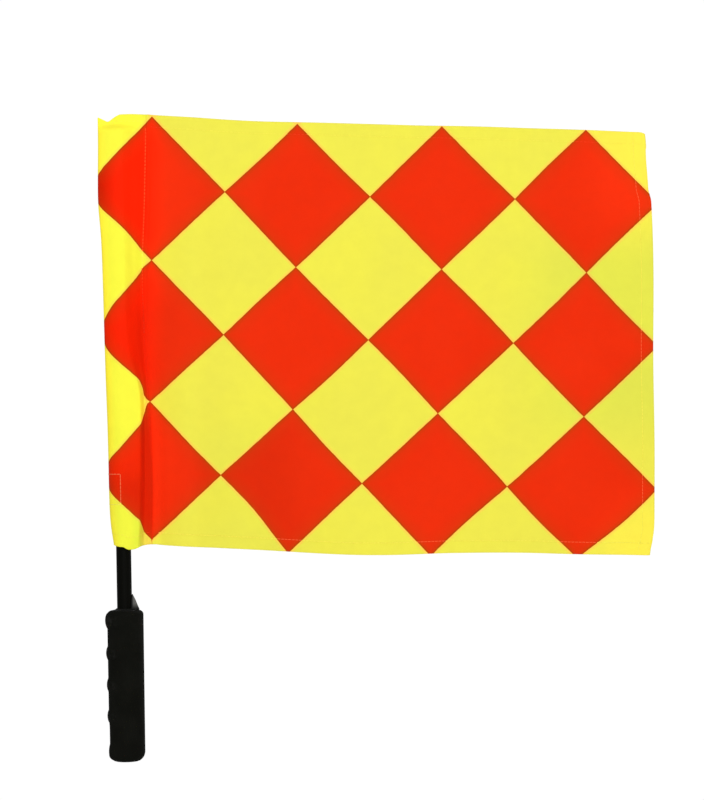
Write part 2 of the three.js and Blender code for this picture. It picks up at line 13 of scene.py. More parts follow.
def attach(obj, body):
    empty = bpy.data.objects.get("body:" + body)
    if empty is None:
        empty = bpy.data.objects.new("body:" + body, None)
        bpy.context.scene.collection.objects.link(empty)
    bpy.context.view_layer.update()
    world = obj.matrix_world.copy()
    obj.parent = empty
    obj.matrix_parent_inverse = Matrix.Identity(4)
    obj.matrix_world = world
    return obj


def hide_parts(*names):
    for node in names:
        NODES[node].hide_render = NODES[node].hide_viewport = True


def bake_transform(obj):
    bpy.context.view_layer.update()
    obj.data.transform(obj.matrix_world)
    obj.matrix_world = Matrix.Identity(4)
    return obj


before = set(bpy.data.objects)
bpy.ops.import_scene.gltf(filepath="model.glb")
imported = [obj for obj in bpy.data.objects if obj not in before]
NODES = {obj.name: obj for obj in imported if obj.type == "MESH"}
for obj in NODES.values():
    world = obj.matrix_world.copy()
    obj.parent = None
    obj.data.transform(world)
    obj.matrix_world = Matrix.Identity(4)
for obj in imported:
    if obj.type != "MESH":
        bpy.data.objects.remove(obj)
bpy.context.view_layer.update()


MM = 0.001
scene = bpy.context.scene
scene.view_settings.view_transform = "Standard"
scene.view_settings.look = "None"
scene.view_settings.exposure = 0.0
scene.view_settings.gamma = 1.0

# ------------------------------------------------------------------ camera
ROLL = math.radians(1.0)
DISTANCE = 2.2
CENTRE = (0.18857, 0.2296)  # X, Z in the middle of the picture
FRAME_HEIGHT = 0.6532  # metres of the object's plane from top to bottom of the picture

cam = bpy.data.cameras.new("camera")
cam.sensor_fit = "VERTICAL"
cam.sensor_height = 24.0
cam.lens = 24.0 * DISTANCE / FRAME_HEIGHT
cam.clip_end = 100.0
cam_obj = bpy.data.objects.new("camera", cam)
scene.collection.objects.link(cam_obj)
right = (math.cos(ROLL), 0.0, -math.sin(ROLL))
up = (math.sin(ROLL), 0.0, math.cos(ROLL))
cam_obj.matrix_world = Matrix((
    (right[0], up[0], 0.0, CENTRE[0]),
    (right[1], up[1], -1.0, -DISTANCE),
    (right[2], up[2], 0.0, CENTRE[1]),
    (0.0, 0.0, 0.0, 1.0),
))
scene.camera = cam_obj


# ----------------------------------------------------------- number helpers
def smooth(a, b, x):
    t = np.clip((np.asarray(x, float) - a) / (b - a), 0.0, 1.0)
    return t * t * (3.0 - 2.0 * t)


def gauss(x, c, w):
    return np.exp(-(((np.asarray(x, float) - c) / w) ** 2))


class Soft:
    """A table of values along Z, smoothed."""

    def __init__(self, rows, column, sigma=7.0):
        self.z = np.arange(60.0, 500.0, 1.0)
        raw = np.interp(self.z, [r[0] for r in rows], [r[column] for r in rows])
        k = np.arange(-30, 31)
        kernel = np.exp(-0.5 * (k / sigma) ** 2)
        kernel /= kernel.sum()
        padded = np.concatenate([np.full(30, raw[0]), raw, np.full(30, raw[-1])])
        self.v = np.convolve(padded, kernel, mode="valid")

    def __call__(self, z):
        return np.interp(np.asarray(z, float), self.z, self.v)


# ------------------------------------------------------------- mesh helpers
def add_mesh(name, verts, faces, material, uv=None, painted_light=None, smooth_faces=True):
    mesh = bpy.data.meshes.new(name)
    v = np.asarray(verts, float).reshape(-1, 3) * MM
    mesh.from_pydata(v.tolist(), [], [list(map(int, f)) for f in faces])
    mesh.materials.append(material)
    mesh.polygons.foreach_set("use_smooth", [smooth_faces] * len(mesh.polygons))
    # the Depth layer carries painted light and shade for the cloth
    for layer_name, pairs in (("Pattern", uv), ("Depth", painted_light)):
        if pairs is not None:
            layer = mesh.uv_layers.new(name=layer_name)
            index = np.zeros(len(mesh.loops), dtype=np.int32)
            mesh.loops.foreach_get("vertex_index", index)
            layer.data.foreach_set("uv", np.asarray(pairs, np.float32)[index].ravel())
    mesh.validate()
    mesh.update()
    obj = bpy.data.objects.new(name, mesh)
    scene.collection.objects.link(obj)
    return obj


def unit(a):
    n = np.linalg.norm(a, axis=-1, keepdims=True)
    return a / np.maximum(n, 1e-12)


def lathe(profile, segments=96, wobble=None):
    """Verts and faces of a closed profile of [radius, height], or of one that starts and ends on the axis."""
    on_axis = profile[0][0] < 1e-6
    verts, rings = [], []
    angles = np.arange(segments) / segments * 2 * math.pi
    for r, z in profile:
        if r < 1e-6:
            rings.append([len(verts)])
            verts.append([0.0, 0.0, z])
        else:
            rings.append(list(range(len(verts), len(verts) + segments)))
            rr = r if wobble is None else r + wobble(angles, z)
            for a, q in zip(angles, np.broadcast_to(rr, angles.shape)):
                verts.append([q * math.cos(a), q * math.sin(a), z])
    faces = []
    count = len(rings)
    for k in range(count - 1 if on_axis else count):
        a, b = rings[k], rings[(k + 1) % count]
        for i in range(segments):
            n = (i + 1) % segments
            if len(a) == 1:
                faces.append([a[0], b[n], b[i]])
            elif len(b) == 1:
                faces.append([a[i], a[n], b[0]])
            else:
                faces.append([a[i], a[n], b[n], b[i]])
    return verts, faces


def outward(verts, faces):
    """Turns all faces round if the closed mesh is inside out."""
    v = np.asarray(verts, float)
    volume = 0.0
    for f in faces:
        for k in range(1, len(f) - 1):
            volume += np.dot(v[f[0]], np.cross(v[f[k]], v[f[k + 1]]))
    return faces if volume > 0 else [list(reversed(f)) for f in faces]


def sweep(paths, normals, half_width, half_height, sides=8):
    """Many short closed tubes: paths (K, M, 3), normals (K, M, 3), section half sizes per step."""
    paths = np.asarray(paths, float)
    k, m, _ = paths.shape
    tangent = unit(np.gradient(paths, axis=1))
    side = unit(np.cross(tangent, normals))
    rise = unit(np.cross(side, tangent))
    verts = []
    for i in range(sides):
        a = 2 * math.pi * i / sides
        verts.append(
            paths
            + side * (math.cos(a) * np.asarray(half_width))[None, :, None]
            + rise * (math.sin(a) * np.asarray(half_height))[None, :, None]
        )
    verts = np.stack(verts, axis=2)  # (K, M, sides, 3)
    index = np.arange(k * m * sides).reshape(k, m, sides)
    faces = []
    for i in range(sides):
        n = (i + 1) % sides
        quads = np.stack([index[:, :-1, i], index[:, :-1, n], index[:, 1:, n], index[:, 1:, i]], axis=-1)
        faces.extend(quads.reshape(-1, 4).tolist())
    for j in range(k):
        faces.append(index[j, 0, ::-1].tolist())
        faces.append(index[j, -1, :].tolist())
    return verts.reshape(-1, 3), faces


def merged(parts):
    verts, faces, base = [], [], 0
    for v, f in parts:
        v = np.asarray(v, float).reshape(-1, 3)
        verts.append(v)
        faces.extend([[base + i for i in face] for face in f])
        base += len(v)
    return np.concatenate(verts), faces


# ---------------------------------------------------------------- materials
class Nodes:
    """Short forms for building a node tree."""

    def __init__(self, name):
        self.material = bpy.data.materials.new(name)
        self.material.use_nodes = True
        self.tree = self.material.node_tree
        self.tree.nodes.clear()
        self.out = self.tree.nodes.new("ShaderNodeOutputMaterial")
        self.bsdf = self.tree.nodes.new("ShaderNodeBsdfPrincipled")
        self.tree.links.new(self.bsdf.outputs[0], self.out.inputs["Surface"])

    def put(self, socket, value):
        if isinstance(value, bpy.types.NodeSocket):
            self.tree.links.new(value, socket)
        else:
            socket.default_value = value

    def set(self, **values):
        for key, value in values.items():
            self.put(self.bsdf.inputs[key.replace("_", " ")], value)
        return self

    def coords(self, kind="Object"):
        return self.tree.nodes.new("ShaderNodeTexCoord").outputs[kind]

    def uv(self, layer="Pattern"):
        n = self.tree.nodes.new("ShaderNodeUVMap")
        n.uv_map = layer
        return n.outputs[0]

    def split(self, vector):
        n = self.tree.nodes.new("ShaderNodeSeparateXYZ")
        self.put(n.inputs[0], vector)
        return n.outputs[0], n.outputs[1], n.outputs[2]

    def join(self, x, y, z=0.0):
        n = self.tree.nodes.new("ShaderNodeCombineXYZ")
        for s, v in zip(n.inputs, (x, y, z)):
            self.put(s, v)
        return n.outputs[0]

    def math(self, op, a, b=None, c=None, clamp=False):
        n = self.tree.nodes.new("ShaderNodeMath")
        n.operation = op
        n.use_clamp = clamp
        for s, v in zip(n.inputs, (a, b, c)):
            if v is not None:
                self.put(s, v)
        return n.outputs[0]

    def vmul(self, vector, scale):
        n = self.tree.nodes.new("ShaderNodeVectorMath")
        n.operation = "MULTIPLY"
        self.put(n.inputs[0], vector)
        n.inputs[1].default_value = scale
        return n.outputs[0]

    def noise(self, vector, scale, detail=3.0, rough=0.5):
        n = self.tree.nodes.new("ShaderNodeTexNoise")
        self.put(n.inputs["Vector"], vector)
        n.inputs["Scale"].default_value = scale
        n.inputs["Detail"].default_value = detail
        n.inputs["Roughness"].default_value = rough
        return n.outputs["Fac"]

    def voronoi(self, vector, scale, feature="F1", randomness=1.0):
        n = self.tree.nodes.new("ShaderNodeTexVoronoi")
        n.feature = feature
        self.put(n.inputs["Vector"], vector)
        n.inputs["Scale"].default_value = scale
        n.inputs["Randomness"].default_value = randomness
        return n.outputs["Distance"]

    def step(self, value, low, high, to_low=0.0, to_high=1.0):
        n = self.tree.nodes.new("ShaderNodeMapRange")
        n.interpolation_type = "SMOOTHSTEP"
        self.put(n.inputs["Value"], value)
        for key, v in zip(("From Min", "From Max", "To Min", "To Max"), (low, high, to_low, to_high)):
            n.inputs[key].default_value = v
        return n.outputs[0]

    def mix(self, factor, a, b, blend="MIX"):
        n = self.tree.nodes.new("ShaderNodeMix")
        n.data_type = "RGBA"
        n.blend_type = blend
        self.put(n.inputs["Factor"], factor)
        colours = [s for s in n.inputs if s.type == "RGBA"]
        for s, v in zip(colours, (a, b)):
            self.put(s, (*v, 1.0) if isinstance(v, tuple) and len(v) == 3 else v)
        return [s for s in n.outputs if s.type == "RGBA"][0]

    def bump(self, height, distance, strength=1.0, normal=None):
        n = self.tree.nodes.new("ShaderNodeBump")
        n.inputs["Distance"].default_value = distance
        n.inputs["Strength"].default_value = strength
        self.put(n.inputs["Height"], height)
        if normal is not None:
            self.put(n.inputs["Normal"], normal)
        return n.outputs[0]


PITCH_X, PITCH_Z = 118.5, 116.6  # the diamonds' pitch across and down the cloth
PER_UNIT = 1.0 / math.hypot(1.0 / PITCH_X, 1.0 / PITCH_Z)


YELLOW_A, YELLOW_B, YELLOW_POCKET = (0.815, 0.765, 0.076), (0.842, 0.79, 0.070), (0.925, 0.905, 0.052)
RED_A, RED_B = (0.80, 0.0243, 0.0021), (0.825, 0.0267, 0.0027)
RED_POCKET, RED_POCKET_LOW = (0.965, 0.0165, 0.0004), (0.955, 0.0222, 0.0009)


def cloth_material():
    m = Nodes("cloth")
    u, v, _ = m.split(m.uv())
    flat = m.join(m.math("MULTIPLY", u, PITCH_X), m.math("MULTIPLY", v, PITCH_Z))  # millimetres on the cloth
    waver = m.math("MULTIPLY", m.math("SUBTRACT", m.noise(flat, 0.11, 2.0), 0.5), 0.0075)
    p = m.math("ADD", m.math("ADD", u, v), waver)
    q = m.math("ADD", m.math("SUBTRACT", u, v), waver)
    cells = m.math("ADD", m.math("FLOOR", p), m.math("FLOOR", q))
    red_side = m.math("FLOORED_MODULO", cells, 2.0)
    near = []
    for t in (p, q):
        near.append(m.math("ABSOLUTE", m.math("SUBTRACT", t, m.math("ROUND", t))))
    edge = m.math("MULTIPLY", m.math("MINIMUM", near[0], near[1]), PER_UNIT)  # millimetres to the nearest border
    signed = m.math("MULTIPLY", edge, m.math("SUBTRACT", m.math("MULTIPLY", red_side, 2.0), 1.0))
    signed = m.math("MINIMUM", signed, m.math("MULTIPLY", v, PITCH_Z))  # the row of tips ends the pattern at the top
    red_fact = m.step(signed, -0.20, 0.12)
    # where the two inks overlap the border is a thin dark line; outside it the yellow turns warm, inside it the red
    # deepens for some millimetres
    overlap = m.math("MULTIPLY", m.step(signed, 0.62, 1.30, 1.0, 0.0), m.step(signed, -0.32, -0.10))
    fringe = m.step(signed, -2.9, -0.7, 0.0, 1.0)
    broad = m.step(signed, 0.0, 15.0, 1.0, 0.0)
    close = m.step(signed, 0.4, 4.4, 1.0, 0.0)
    # large soft differences in the dye
    cloud = m.noise(flat, 0.014, 3.0)
    mottle = m.noise(flat, 0.09, 4.0, 0.6)
    pocket = m.step(u, -0.1, 0.02, 1.0, 0.0)  # two layers of cloth
    yellow = m.mix(m.step(cloud, 0.3, 0.7), YELLOW_A, YELLOW_B)
    yellow = m.mix(pocket, yellow, YELLOW_POCKET)
    ink_fringe_and_painted_shade = m.math("MULTIPLY", fringe, m.math("SUBTRACT", 1.0, m.math("MULTIPLY", pocket, 0.42)))
    tucked = m.math("MULTIPLY", m.step(u, -0.17, -0.06), m.step(u, -0.005, 0.02, 1.0, 0.0))
    tucked = m.math("MULTIPLY", tucked, m.step(v, 2.84, 2.96))  # painted shade: the foot of the pocket is tinted a darker, warmer yellow
    ink_fringe_and_painted_shade = m.math("MAXIMUM", ink_fringe_and_painted_shade, m.math("MULTIPLY", tucked, 0.70))
    yellow = m.mix(ink_fringe_and_painted_shade, yellow, (0.965, 0.635, 0.084))
    red = m.mix(m.step(cloud, 0.3, 0.7), RED_A, RED_B)
    red_pocket = m.mix(m.step(v, 1.7, 2.2), RED_POCKET, RED_POCKET_LOW)
    red = m.mix(m.step(u, -0.07, 0.13, 1.0, 0.0), red, red_pocket)
    # painted light and shade from the Depth layer: the cloth's colour is darkened or brightened where its folds, seam
    # and pocket would lie in shade or in light
    red_painted_light, yellow_painted_light, _ = m.split(m.uv("Depth"))
    yellow = m.mix(1.0, yellow, m.join(yellow_painted_light, m.math("POWER", yellow_painted_light, 0.35), 1.0), "MULTIPLY")
    red = m.mix(1.0, red, m.join(red_painted_light, red_painted_light, red_painted_light), "MULTIPLY")
    red = m.mix(m.math("MULTIPLY", broad, 0.30), red, (0.56, 0.045, 0.0040))
    red = m.mix(m.math("MULTIPLY", close, 0.42), red, (0.50, 0.052, 0.0010))
    colour = m.mix(red_fact, yellow, red)
    colour = m.mix(m.math("MULTIPLY", overlap, 0.92), colour, (0.47, 0.050, 0.0006))
    shade = m.step(mottle, 0.25, 0.75, 0.97, 1.0)
    colour = m.mix(1.0, colour, m.join(shade, shade, shade), "MULTIPLY")
    # plain weave of half millimetre threads, with a fine slub
    x = m.math("MULTIPLY", u, PITCH_X * 2 * math.pi / 0.9)
    z = m.math("MULTIPLY", v, PITCH_Z * 2 * math.pi / 0.9)
    weave = m.math("MULTIPLY", m.math("SINE", x), m.math("SINE", z))
    slub = m.noise(m.vmul(flat, (1.2, 0.12, 1.0)), 1.0, 2.0)
    slub2 = m.noise(m.vmul(flat, (0.12, 1.2, 1.0)), 1.0, 2.0)
    height = m.math("ADD", m.math("MULTIPLY", weave, 0.5), m.math("ADD", slub, slub2))
    normal = m.bump(height, 0.00003, 0.55)
    m.set(Base_Color=colour, Roughness=m.step(mottle, 0.2, 0.8, 0.62, 0.74), Normal=normal)
    m.bsdf.inputs["Specular IOR Level"].default_value = 0.03
    m.bsdf.inputs["Sheen Weight"].default_value = 0.015
    m.bsdf.inputs["Sheen Roughness"].default_value = 0.45
    m.bsdf.inputs["Sheen Tint"].default_value = (1.0, 0.62, 0.25, 1.0)
    return m.material


def thread_material(name="thread", red_a=(0.90, 0.040, 0.007), red_b=(0.96, 0.060, 0.011), low=None, level=0.12):
    """Fine thread that has taken up the dye of the cloth it is sewn into; low is its red near the foot of the pocket,
    darkened to the cloth's red as painted shade of the fold there.
    """
    m = Nodes(name)
    xyz = m.coords()
    u, v, _ = m.split(m.uv())
    cells = m.math("ADD", m.math("FLOOR", m.math("ADD", u, v)), m.math("FLOOR", m.math("SUBTRACT", u, v)))
    red_side = m.math("MULTIPLY", m.math("FLOORED_MODULO", cells, 2.0), m.math("GREATER_THAN", v, 0.0))
    tone = m.noise(xyz, 900.0, 2.0)
    yellow = m.mix(m.step(tone, 0.3, 0.7), (0.86, 0.76, 0.07), (0.95, 0.88, 0.11))
    red = m.mix(m.step(tone, 0.3, 0.7), red_a, red_b)
    if low:
        # painted shade: near the foot of the pocket the thread turns to the darker low red
        red = m.mix(m.step(m.split(xyz)[2], 0.300, 0.345), low, red)
    twist = m.noise(m.vmul(xyz, (1.0, 1.0, 1.0)), 4200.0, 1.0)
    m.set(Base_Color=m.mix(red_side, yellow, red), Roughness=m.step(tone, 0.2, 0.8, 0.42, 0.55), Normal=m.bump(twist, 0.00008, 0.8))
    m.bsdf.inputs["Specular IOR Level"].default_value = level
    m.bsdf.inputs["Sheen Weight"].default_value = 0.02
    return m.material


def grip_material():
    m = Nodes("grip_rubber")
    xyz = m.coords()
    x, y, z = m.split(xyz)
    radius = m.math("POWER", m.math("ADD", m.math("MULTIPLY", x, x), m.math("MULTIPLY", y, y)), 0.5)
    cloud = m.noise(xyz, 55.0, 3.0)
    grain = m.noise(xyz, 1500.0, 3.0, 0.65)
    pits = m.voronoi(xyz, 1100.0)
    colour = m.mix(m.step(cloud, 0.3, 0.7), (0.0042, 0.0044, 0.0032), (0.0061, 0.0063, 0.0048))
    worn = m.math("MULTIPLY", m.step(radius, 0.01475, 0.0160), m.step(m.noise(xyz, 300.0, 4.0, 0.7), 0.42, 0.62))
    colour = m.mix(m.math("MULTIPLY", worn, 0.6), colour, (0.016, 0.016, 0.014))
    rough = m.math("SUBTRACT", m.step(grain, 0.2, 0.8, 0.78, 0.92), m.math("MULTIPLY", worn, 0.16))
    height = m.math("ADD", grain, m.math("MULTIPLY", m.step(pits, 0.05, 0.5), 0.8))
    m.set(Base_Color=colour, Roughness=rough, Normal=m.bump(height, 0.00010, 0.8))
    m.bsdf.inputs["Specular IOR Level"].default_value = 0.03
    return m.material


def plastic_material(name, dark, light, rough=(0.34, 0.46), spec=0.3, streak=(1.0, 1.0, 1.0), bump=0.00002):
    m = Nodes(name)
    xyz = m.vmul(m.coords(), streak)
    cloud = m.noise(xyz, 60.0, 3.0)
    grain = m.noise(xyz, 1400.0, 3.0, 0.6)
    scuff = m.step(m.noise(m.vmul(xyz, (3.0, 3.0, 0.35)), 160.0, 5.0, 0.75), 0.60, 0.70)
    colour = m.mix(m.step(cloud, 0.3, 0.7), dark, light)
    colour = m.mix(m.math("MULTIPLY", scuff, 0.22), colour, tuple(min(1.0, c * 2.2 + 0.004) for c in light))
    roughness = m.math("ADD", m.step(grain, 0.2, 0.8, rough[0], rough[1]), m.math("MULTIPLY", scuff, 0.12))
    m.set(Base_Color=colour, Roughness=roughness, Normal=m.bump(grain, bump, 0.7))
    m.bsdf.inputs["Specular IOR Level"].default_value = spec
    return m.material


def neck_material():
    m = Nodes("neck_plastic")
    xyz = m.coords()
    x, y, z = m.split(xyz)
    cloud = m.noise(xyz, 90.0, 3.0)
    grain = m.noise(xyz, 1600.0, 2.0, 0.6)
    fin_highlight = m.math("MULTIPLY", m.step(x, 0.0062, 0.0078), m.step(z, 0.0622, 0.0676))  # painted highlight: the thin fin is coloured pale grey for the highlight it catches
    colour = m.mix(m.step(cloud, 0.3, 0.7), (0.0050, 0.0052, 0.0046), (0.0075, 0.0078, 0.0070))
    colour = m.mix(fin_highlight, colour, (0.118, 0.118, 0.111))
    m.set(Base_Color=colour, Roughness=m.step(grain, 0.2, 0.8, 0.50, 0.62), Normal=m.bump(grain, 0.00003, 0.6))
    m.bsdf.inputs["Specular IOR Level"].default_value = 0.10
    return m.material


def tape_material(name, dark, light, scale):
    m = Nodes(name)
    xyz = m.coords()
    fuzz = m.noise(xyz, scale, 4.0, 0.75)
    colour = m.mix(m.step(fuzz, 0.3, 0.7), dark, light)
    m.set(Base_Color=colour, Roughness=m.step(fuzz, 0.2, 0.8, 0.8, 0.95), Normal=m.bump(fuzz, 0.0003, 0.9))
    m.bsdf.inputs["Specular IOR Level"].default_value = 0.12
    m.bsdf.inputs["Sheen Weight"].default_value = 0.2
    return m.material


def steel_material():
    m = Nodes("steel")
    xyz = m.coords()
    brushed = m.noise(m.vmul(xyz, (1.0, 1.0, 9.0)), 700.0, 4.0, 0.6)
    colour = m.mix(m.step(brushed, 0.3, 0.7), (0.52, 0.53, 0.54), (0.66, 0.67, 0.68))
    m.set(Base_Color=colour, Roughness=m.step(brushed, 0.2, 0.8, 0.24, 0.38), Normal=m.bump(brushed, 0.00002, 0.6))
    m.bsdf.inputs["Metallic"].default_value = 1.0
    return m.material


CLOTH = cloth_material()
THREAD = thread_material()
# the seam thread's low red is painted shade near the foot of the pocket
SEAM_THREAD = thread_material("seam_thread", (0.93, 0.055, 0.0105), (0.97, 0.074, 0.0150), (0.80, 0.021, 0.0022), 0.04)
HEM_THREAD = thread_material("hem_thread", (0.93, 0.100, 0.026), (0.98, 0.130, 0.036))
PATCH_THREAD = thread_material("patch_thread", (0.84, 0.12, 0.038), (0.90, 0.16, 0.055))
GRIP = grip_material()
CORE = plastic_material("handle_plastic", (0.006, 0.006, 0.0055), (0.009, 0.009, 0.0085), (0.42, 0.55), 0.3)
SHAFT = plastic_material("shaft_plastic", (0.0021, 0.0022, 0.0015), (0.0032, 0.0033, 0.0024), (0.44, 0.54), 0.028, (1.0, 1.0, 0.12), 0.00003)
NECK = neck_material()
NYLON = plastic_material("bearing_nylon", (0.58, 0.56, 0.50), (0.66, 0.64, 0.58), (0.38, 0.5), 0.45)
PLUG = plastic_material("plug_plastic", (0.020, 0.021, 0.019), (0.030, 0.031, 0.028), (0.5, 0.6), 0.35)
STEEL = steel_material()
HOOK = tape_material("hook_tape", (0.006, 0.006, 0.0055), (0.016, 0.016, 0.015), 1900.0)
LOOP = tape_material("loop_tape", (0.007, 0.007, 0.0065), (0.022, 0.022, 0.020), 2600.0)


# -------------------------------------------------------------------- cloth
HINGE_X, HINGE_Y, FLY_X = 26.5, 2.5, 433.6
CLOSE_FROM, CLOSE_TO = 453.2, 458.0
HEM = 9.6
HALF = 0.15  # half the thickness of the cloth
TURN = 0.25  # radius of a folded edge
POCKET = [  # Z, X of the fold, X of the seam, depth of the front layer, depth of the back layer
    [110.0, -6.8, 22.2, 10.6, 9.0],
    [124.0, -9.3, 22.8, 11.0, 10.2],
    [135.0, -10.6, 23.3, 11.3, 10.9],
    [160.0, -11.1, 24.2, 11.5, 11.2],
    [185.0, -11.1, 24.0, 11.3, 11.0],
    [215.0, -11.4, 22.8, 11.0, 9.4],
    [250.0, -12.2, 20.8, 10.0, 8.8],
    [285.0, -12.7, 18.8, 9.5, 8.4],
    [315.0, -13.0, 18.4, 9.6, 8.2],
    [350.0, -13.5, 19.4, 8.4, 7.9],
    [371.0, -14.2, 20.6, 8.1, 7.8],
    [388.0, -15.8, 21.5, 7.9, 7.7],
    [400.0, -16.1, 22.0, 7.8, 7.7],
    [415.0, -15.8, 22.5, 7.7, 7.6],
    [430.0, -15.4, 23.0, 7.6, 7.5],
    [447.0, -15.1, 23.8, 7.5, 7.4],
]
FLANK = [  # Z, X where the front layer starts to fall, X at the foot of its steep part, share of the fall by then
    [110.0, 12.0, 16.4, 0.82],
    [133.0, 13.8, 17.4, 0.84],
    [160.0, 14.8, 18.2, 0.85],
    [185.0, 15.2, 18.6, 0.85],
    [215.0, 16.2, 18.9, 0.84],
    [238.0, 16.0, 19.2, 0.78],
    [252.0, 13.0, 17.6, 0.62],
    [270.0, 7.5, 14.2, 0.55],
    [300.0, 5.5, 12.6, 0.54],
    [350.0, 5.5, 13.0, 0.53],
    [395.0, 5.0, 13.6, 0.51],
    [447.0, 5.0, 14.4, 0.50],
]
BACK_DROP = [[110, 9.5], [185, 9.0], [285, 9.5], [350, 14.0], [447, 19.0]]
# cloth tucked out of sight along the seam, by height
TUCK = [
    [110, 8.2], [119, 8.4], [125, 7.8], [130, 8.8], [135, 7.7], [141, 7.2], [151, 6.7], [156, 5.9], [162, 3.8],
    [170, 6.2], [178, 9.4], [184, 11.6], [188, 12.6], [192, 12.7], [197, 11.7], [202, 10.5], [207, 9.7], [212, 8.5],
    [217, 7.6], [221, 7.0], [226, 2.0], [231, -1.4], [236, -1.0], [240, 1.6], [244, 4.5], [249, 4.9], [254, 3.5],
    [259, 3.4], [264, 3.0], [269, 2.8], [274, 3.1], [280, 3.4], [288, 6.4], [296, 10.4], [300, 10.2], [305, 8.9],
    [310, 7.4], [315, 6.4], [320, 5.6], [325, 5.5], [330, 4.7], [336, 2.6], [341, 1.5], [347, 0.6], [355, -0.2],
    [361, 0.1], [366, 0.1], [370, -0.5], [375, -0.9], [380, -1.4], [385, -1.9], [390, -2.1], [395, -2.3], [402, 0.5],
    [410, 3.2], [417, 4.5], [426, 4.4], [431, 4.1], [436, 3.8], [440, 3.4], [445, 2.9], [450, 2.2], [456, 1.5],
    [461, 0.9], [466, 0.8],
]
POCKET_TOP = [[-15.6, 463.8], [-11.0, 461.7], [-6.8, 459.4], [-1.4, 463.4], [2.6, 465.7], [12.0, 466.0], [26.5, 465.4]]
fold_x, seam_x = Soft(POCKET, 1), Soft(POCKET, 2)
front_bulge, back_bulge = Soft(POCKET, 3), Soft(POCKET, 4)
flank_x, foot_x, foot_share = Soft(FLANK, 1), Soft(FLANK, 2), Soft(FLANK, 3)
back_drop = Soft(BACK_DROP, 1)
tuck_len = Soft(TUCK, 1, 1.6)


def droop(x):
    return -0.04 * (x - HINGE_X) - 2.9 * (1.0 - np.exp(-(np.maximum(x, -20.0) - HINGE_X) / 50.0))


def top_edge(x):
    return 465.4 + droop(x) - 0.8 * smooth(60, 130, x) - 0.7 * smooth(270, 350, x) - 0.9 * smooth(380, 430, x) - 1.9 * smooth(427.5, 434, x)


def bottom_edge(x):
    return 114.6 + droop(x) - 1.9 * gauss(x, 190, 70) + 1.4 * gauss(x, 340, 60) + 1.5 * smooth(215, 270, x) + 1.5 * smooth(352, 420, x) + 1.1 * smooth(428, 434, x) + 0.45 * gauss(x, 62, 26) + 0.4 * gauss(x, 226, 26)


def fly_edge(z):
    return FLY_X + 3.0 * gauss(z, 340, 80) + 1.4 * gauss(z, 200, 60) - 4.6 * gauss(z, 97, 15) - 2.0 * smooth(387, 399, z) - 0.7 * smooth(400, 424, z) - 1.4 * gauss(z, 450, 8)


def pocket_top(x):
    xs = np.array([r[0] for r in POCKET_TOP])
    zs = np.array([r[1] for r in POCKET_TOP])
    fine = np.arange(-18.0, 30.0, 0.5)
    raw = np.interp(fine, xs, zs)
    kernel = np.exp(-0.5 * (np.arange(-8, 9) / 1.3) ** 2)
    kernel /= kernel.sum()
    soft = np.convolve(np.concatenate([np.full(8, raw[0]), raw, np.full(8, raw[-1])]), kernel, mode="valid")
    return np.interp(x, fine, soft)


def pocket_bottom(x, s):
    dip = 2.3 if s < 0 else 1.3
    return 113.75 + 1.2 * gauss(x, -8.6, 4) - dip * smooth(0.0, 5.0, x) * (1 - smooth(8.0, 16.5, x)) + 1.1 * smooth(12, 22, x)


# small wandering wrinkles, as a fixed sum of waves
_rng = np.random.default_rng(20)
WAVES = []
for _k in range(16):
    _ang = _rng.uniform(-1.2, 1.2)
    _len = _rng.uniform(24.0, 90.0)
    WAVES.append((math.cos(_ang) * 2 * math.pi / _len, math.sin(_ang) * 2 * math.pi / _len, _rng.uniform(0, 6.28), 0.0026 * _len))


def wander(x, z):
    y = 0.0
    for kx, kz, phase, size in WAVES:
        y = y + size * np.sin(kx * x + kz * z + phase)
    return y


def ripple(x, z):
    """Depth of the free cloth: soft standing folds, then small wrinkles and puckers along the stitching."""
    u = x - HINGE_X
    low = 1.0 - smooth(120, 440, z)
    grow = smooth(0, 90, u)
    y = -(2.0 + 4.2 * low) * gauss(u, 27 + 6 * (1 - low), 19)
    y = y + (1.0 + 4.4 * low) * gauss(u, 80, 32)
    y = y + grow * 2.6 * np.sin(2 * math.pi * (u - 40 + 0.16 * (z - 280)) / 168)
    y = y + grow * 1.7 * np.sin(2 * math.pi * (u + 0.42 * (z - 110)) / 250 + 1.1)
    y = y - 4.5 * smooth(300, 415, u) * (0.35 + 0.65 * smooth(150, 440, z))
    y = y + 3.2 * smooth(330, 415, u) * (1 - smooth(110, 300, z))
    y = y * smooth(0, 10, u)
    y = y + 0.55 * wander(x, z) * smooth(4, 40, u)
    top, bottom, fly = top_edge(x) - z, z - bottom_edge(x), fly_edge(z) - x
    size = 0.6 + 0.4 * np.sin(x / 23.0 + 0.7)
    y = y + 0.17 * size * np.sin(2 * math.pi * x / 7.9 + 1.4 * np.sin(x / 27.0)) * gauss(top, HEM, 5.0) * smooth(2, 12, u)
    y = y + 0.17 * size * np.sin(2 * math.pi * x / 7.3 + 1.6 * np.sin(x / 31.0)) * gauss(bottom, HEM, 5.0) * smooth(2, 12, u)
    y = y + 0.15 * (0.6 + 0.4 * np.sin(z / 19.0)) * np.sin(2 * math.pi * z / 7.6 + 1.5 * np.sin(z / 25.0)) * gauss(fly, HEM, 5.0)
    return HINGE_Y + y


def seam_pucker(d, z):
    """Along the pocket's seam; d is the distance from it towards the fly."""
    size = 0.6 + 0.4 * np.sin(z / 17.0 + 0.4)
    return 0.26 * size * np.sin(2 * math.pi * z / 8.3 + 1.7 * np.sin(z / 29.0)) * gauss(d, 1.0, 6.0)


def hem_zone(z, x):
    """1 in the hems at the top and bottom."""
    return (1 - smooth(HEM, HEM + 3, z - 113.6)) + smooth(-HEM - 3, -HEM, z - 465.4)


def half_gap(z, x):
    return 0.20 + 0.52 * np.clip(hem_zone(z, x), 0, 1)


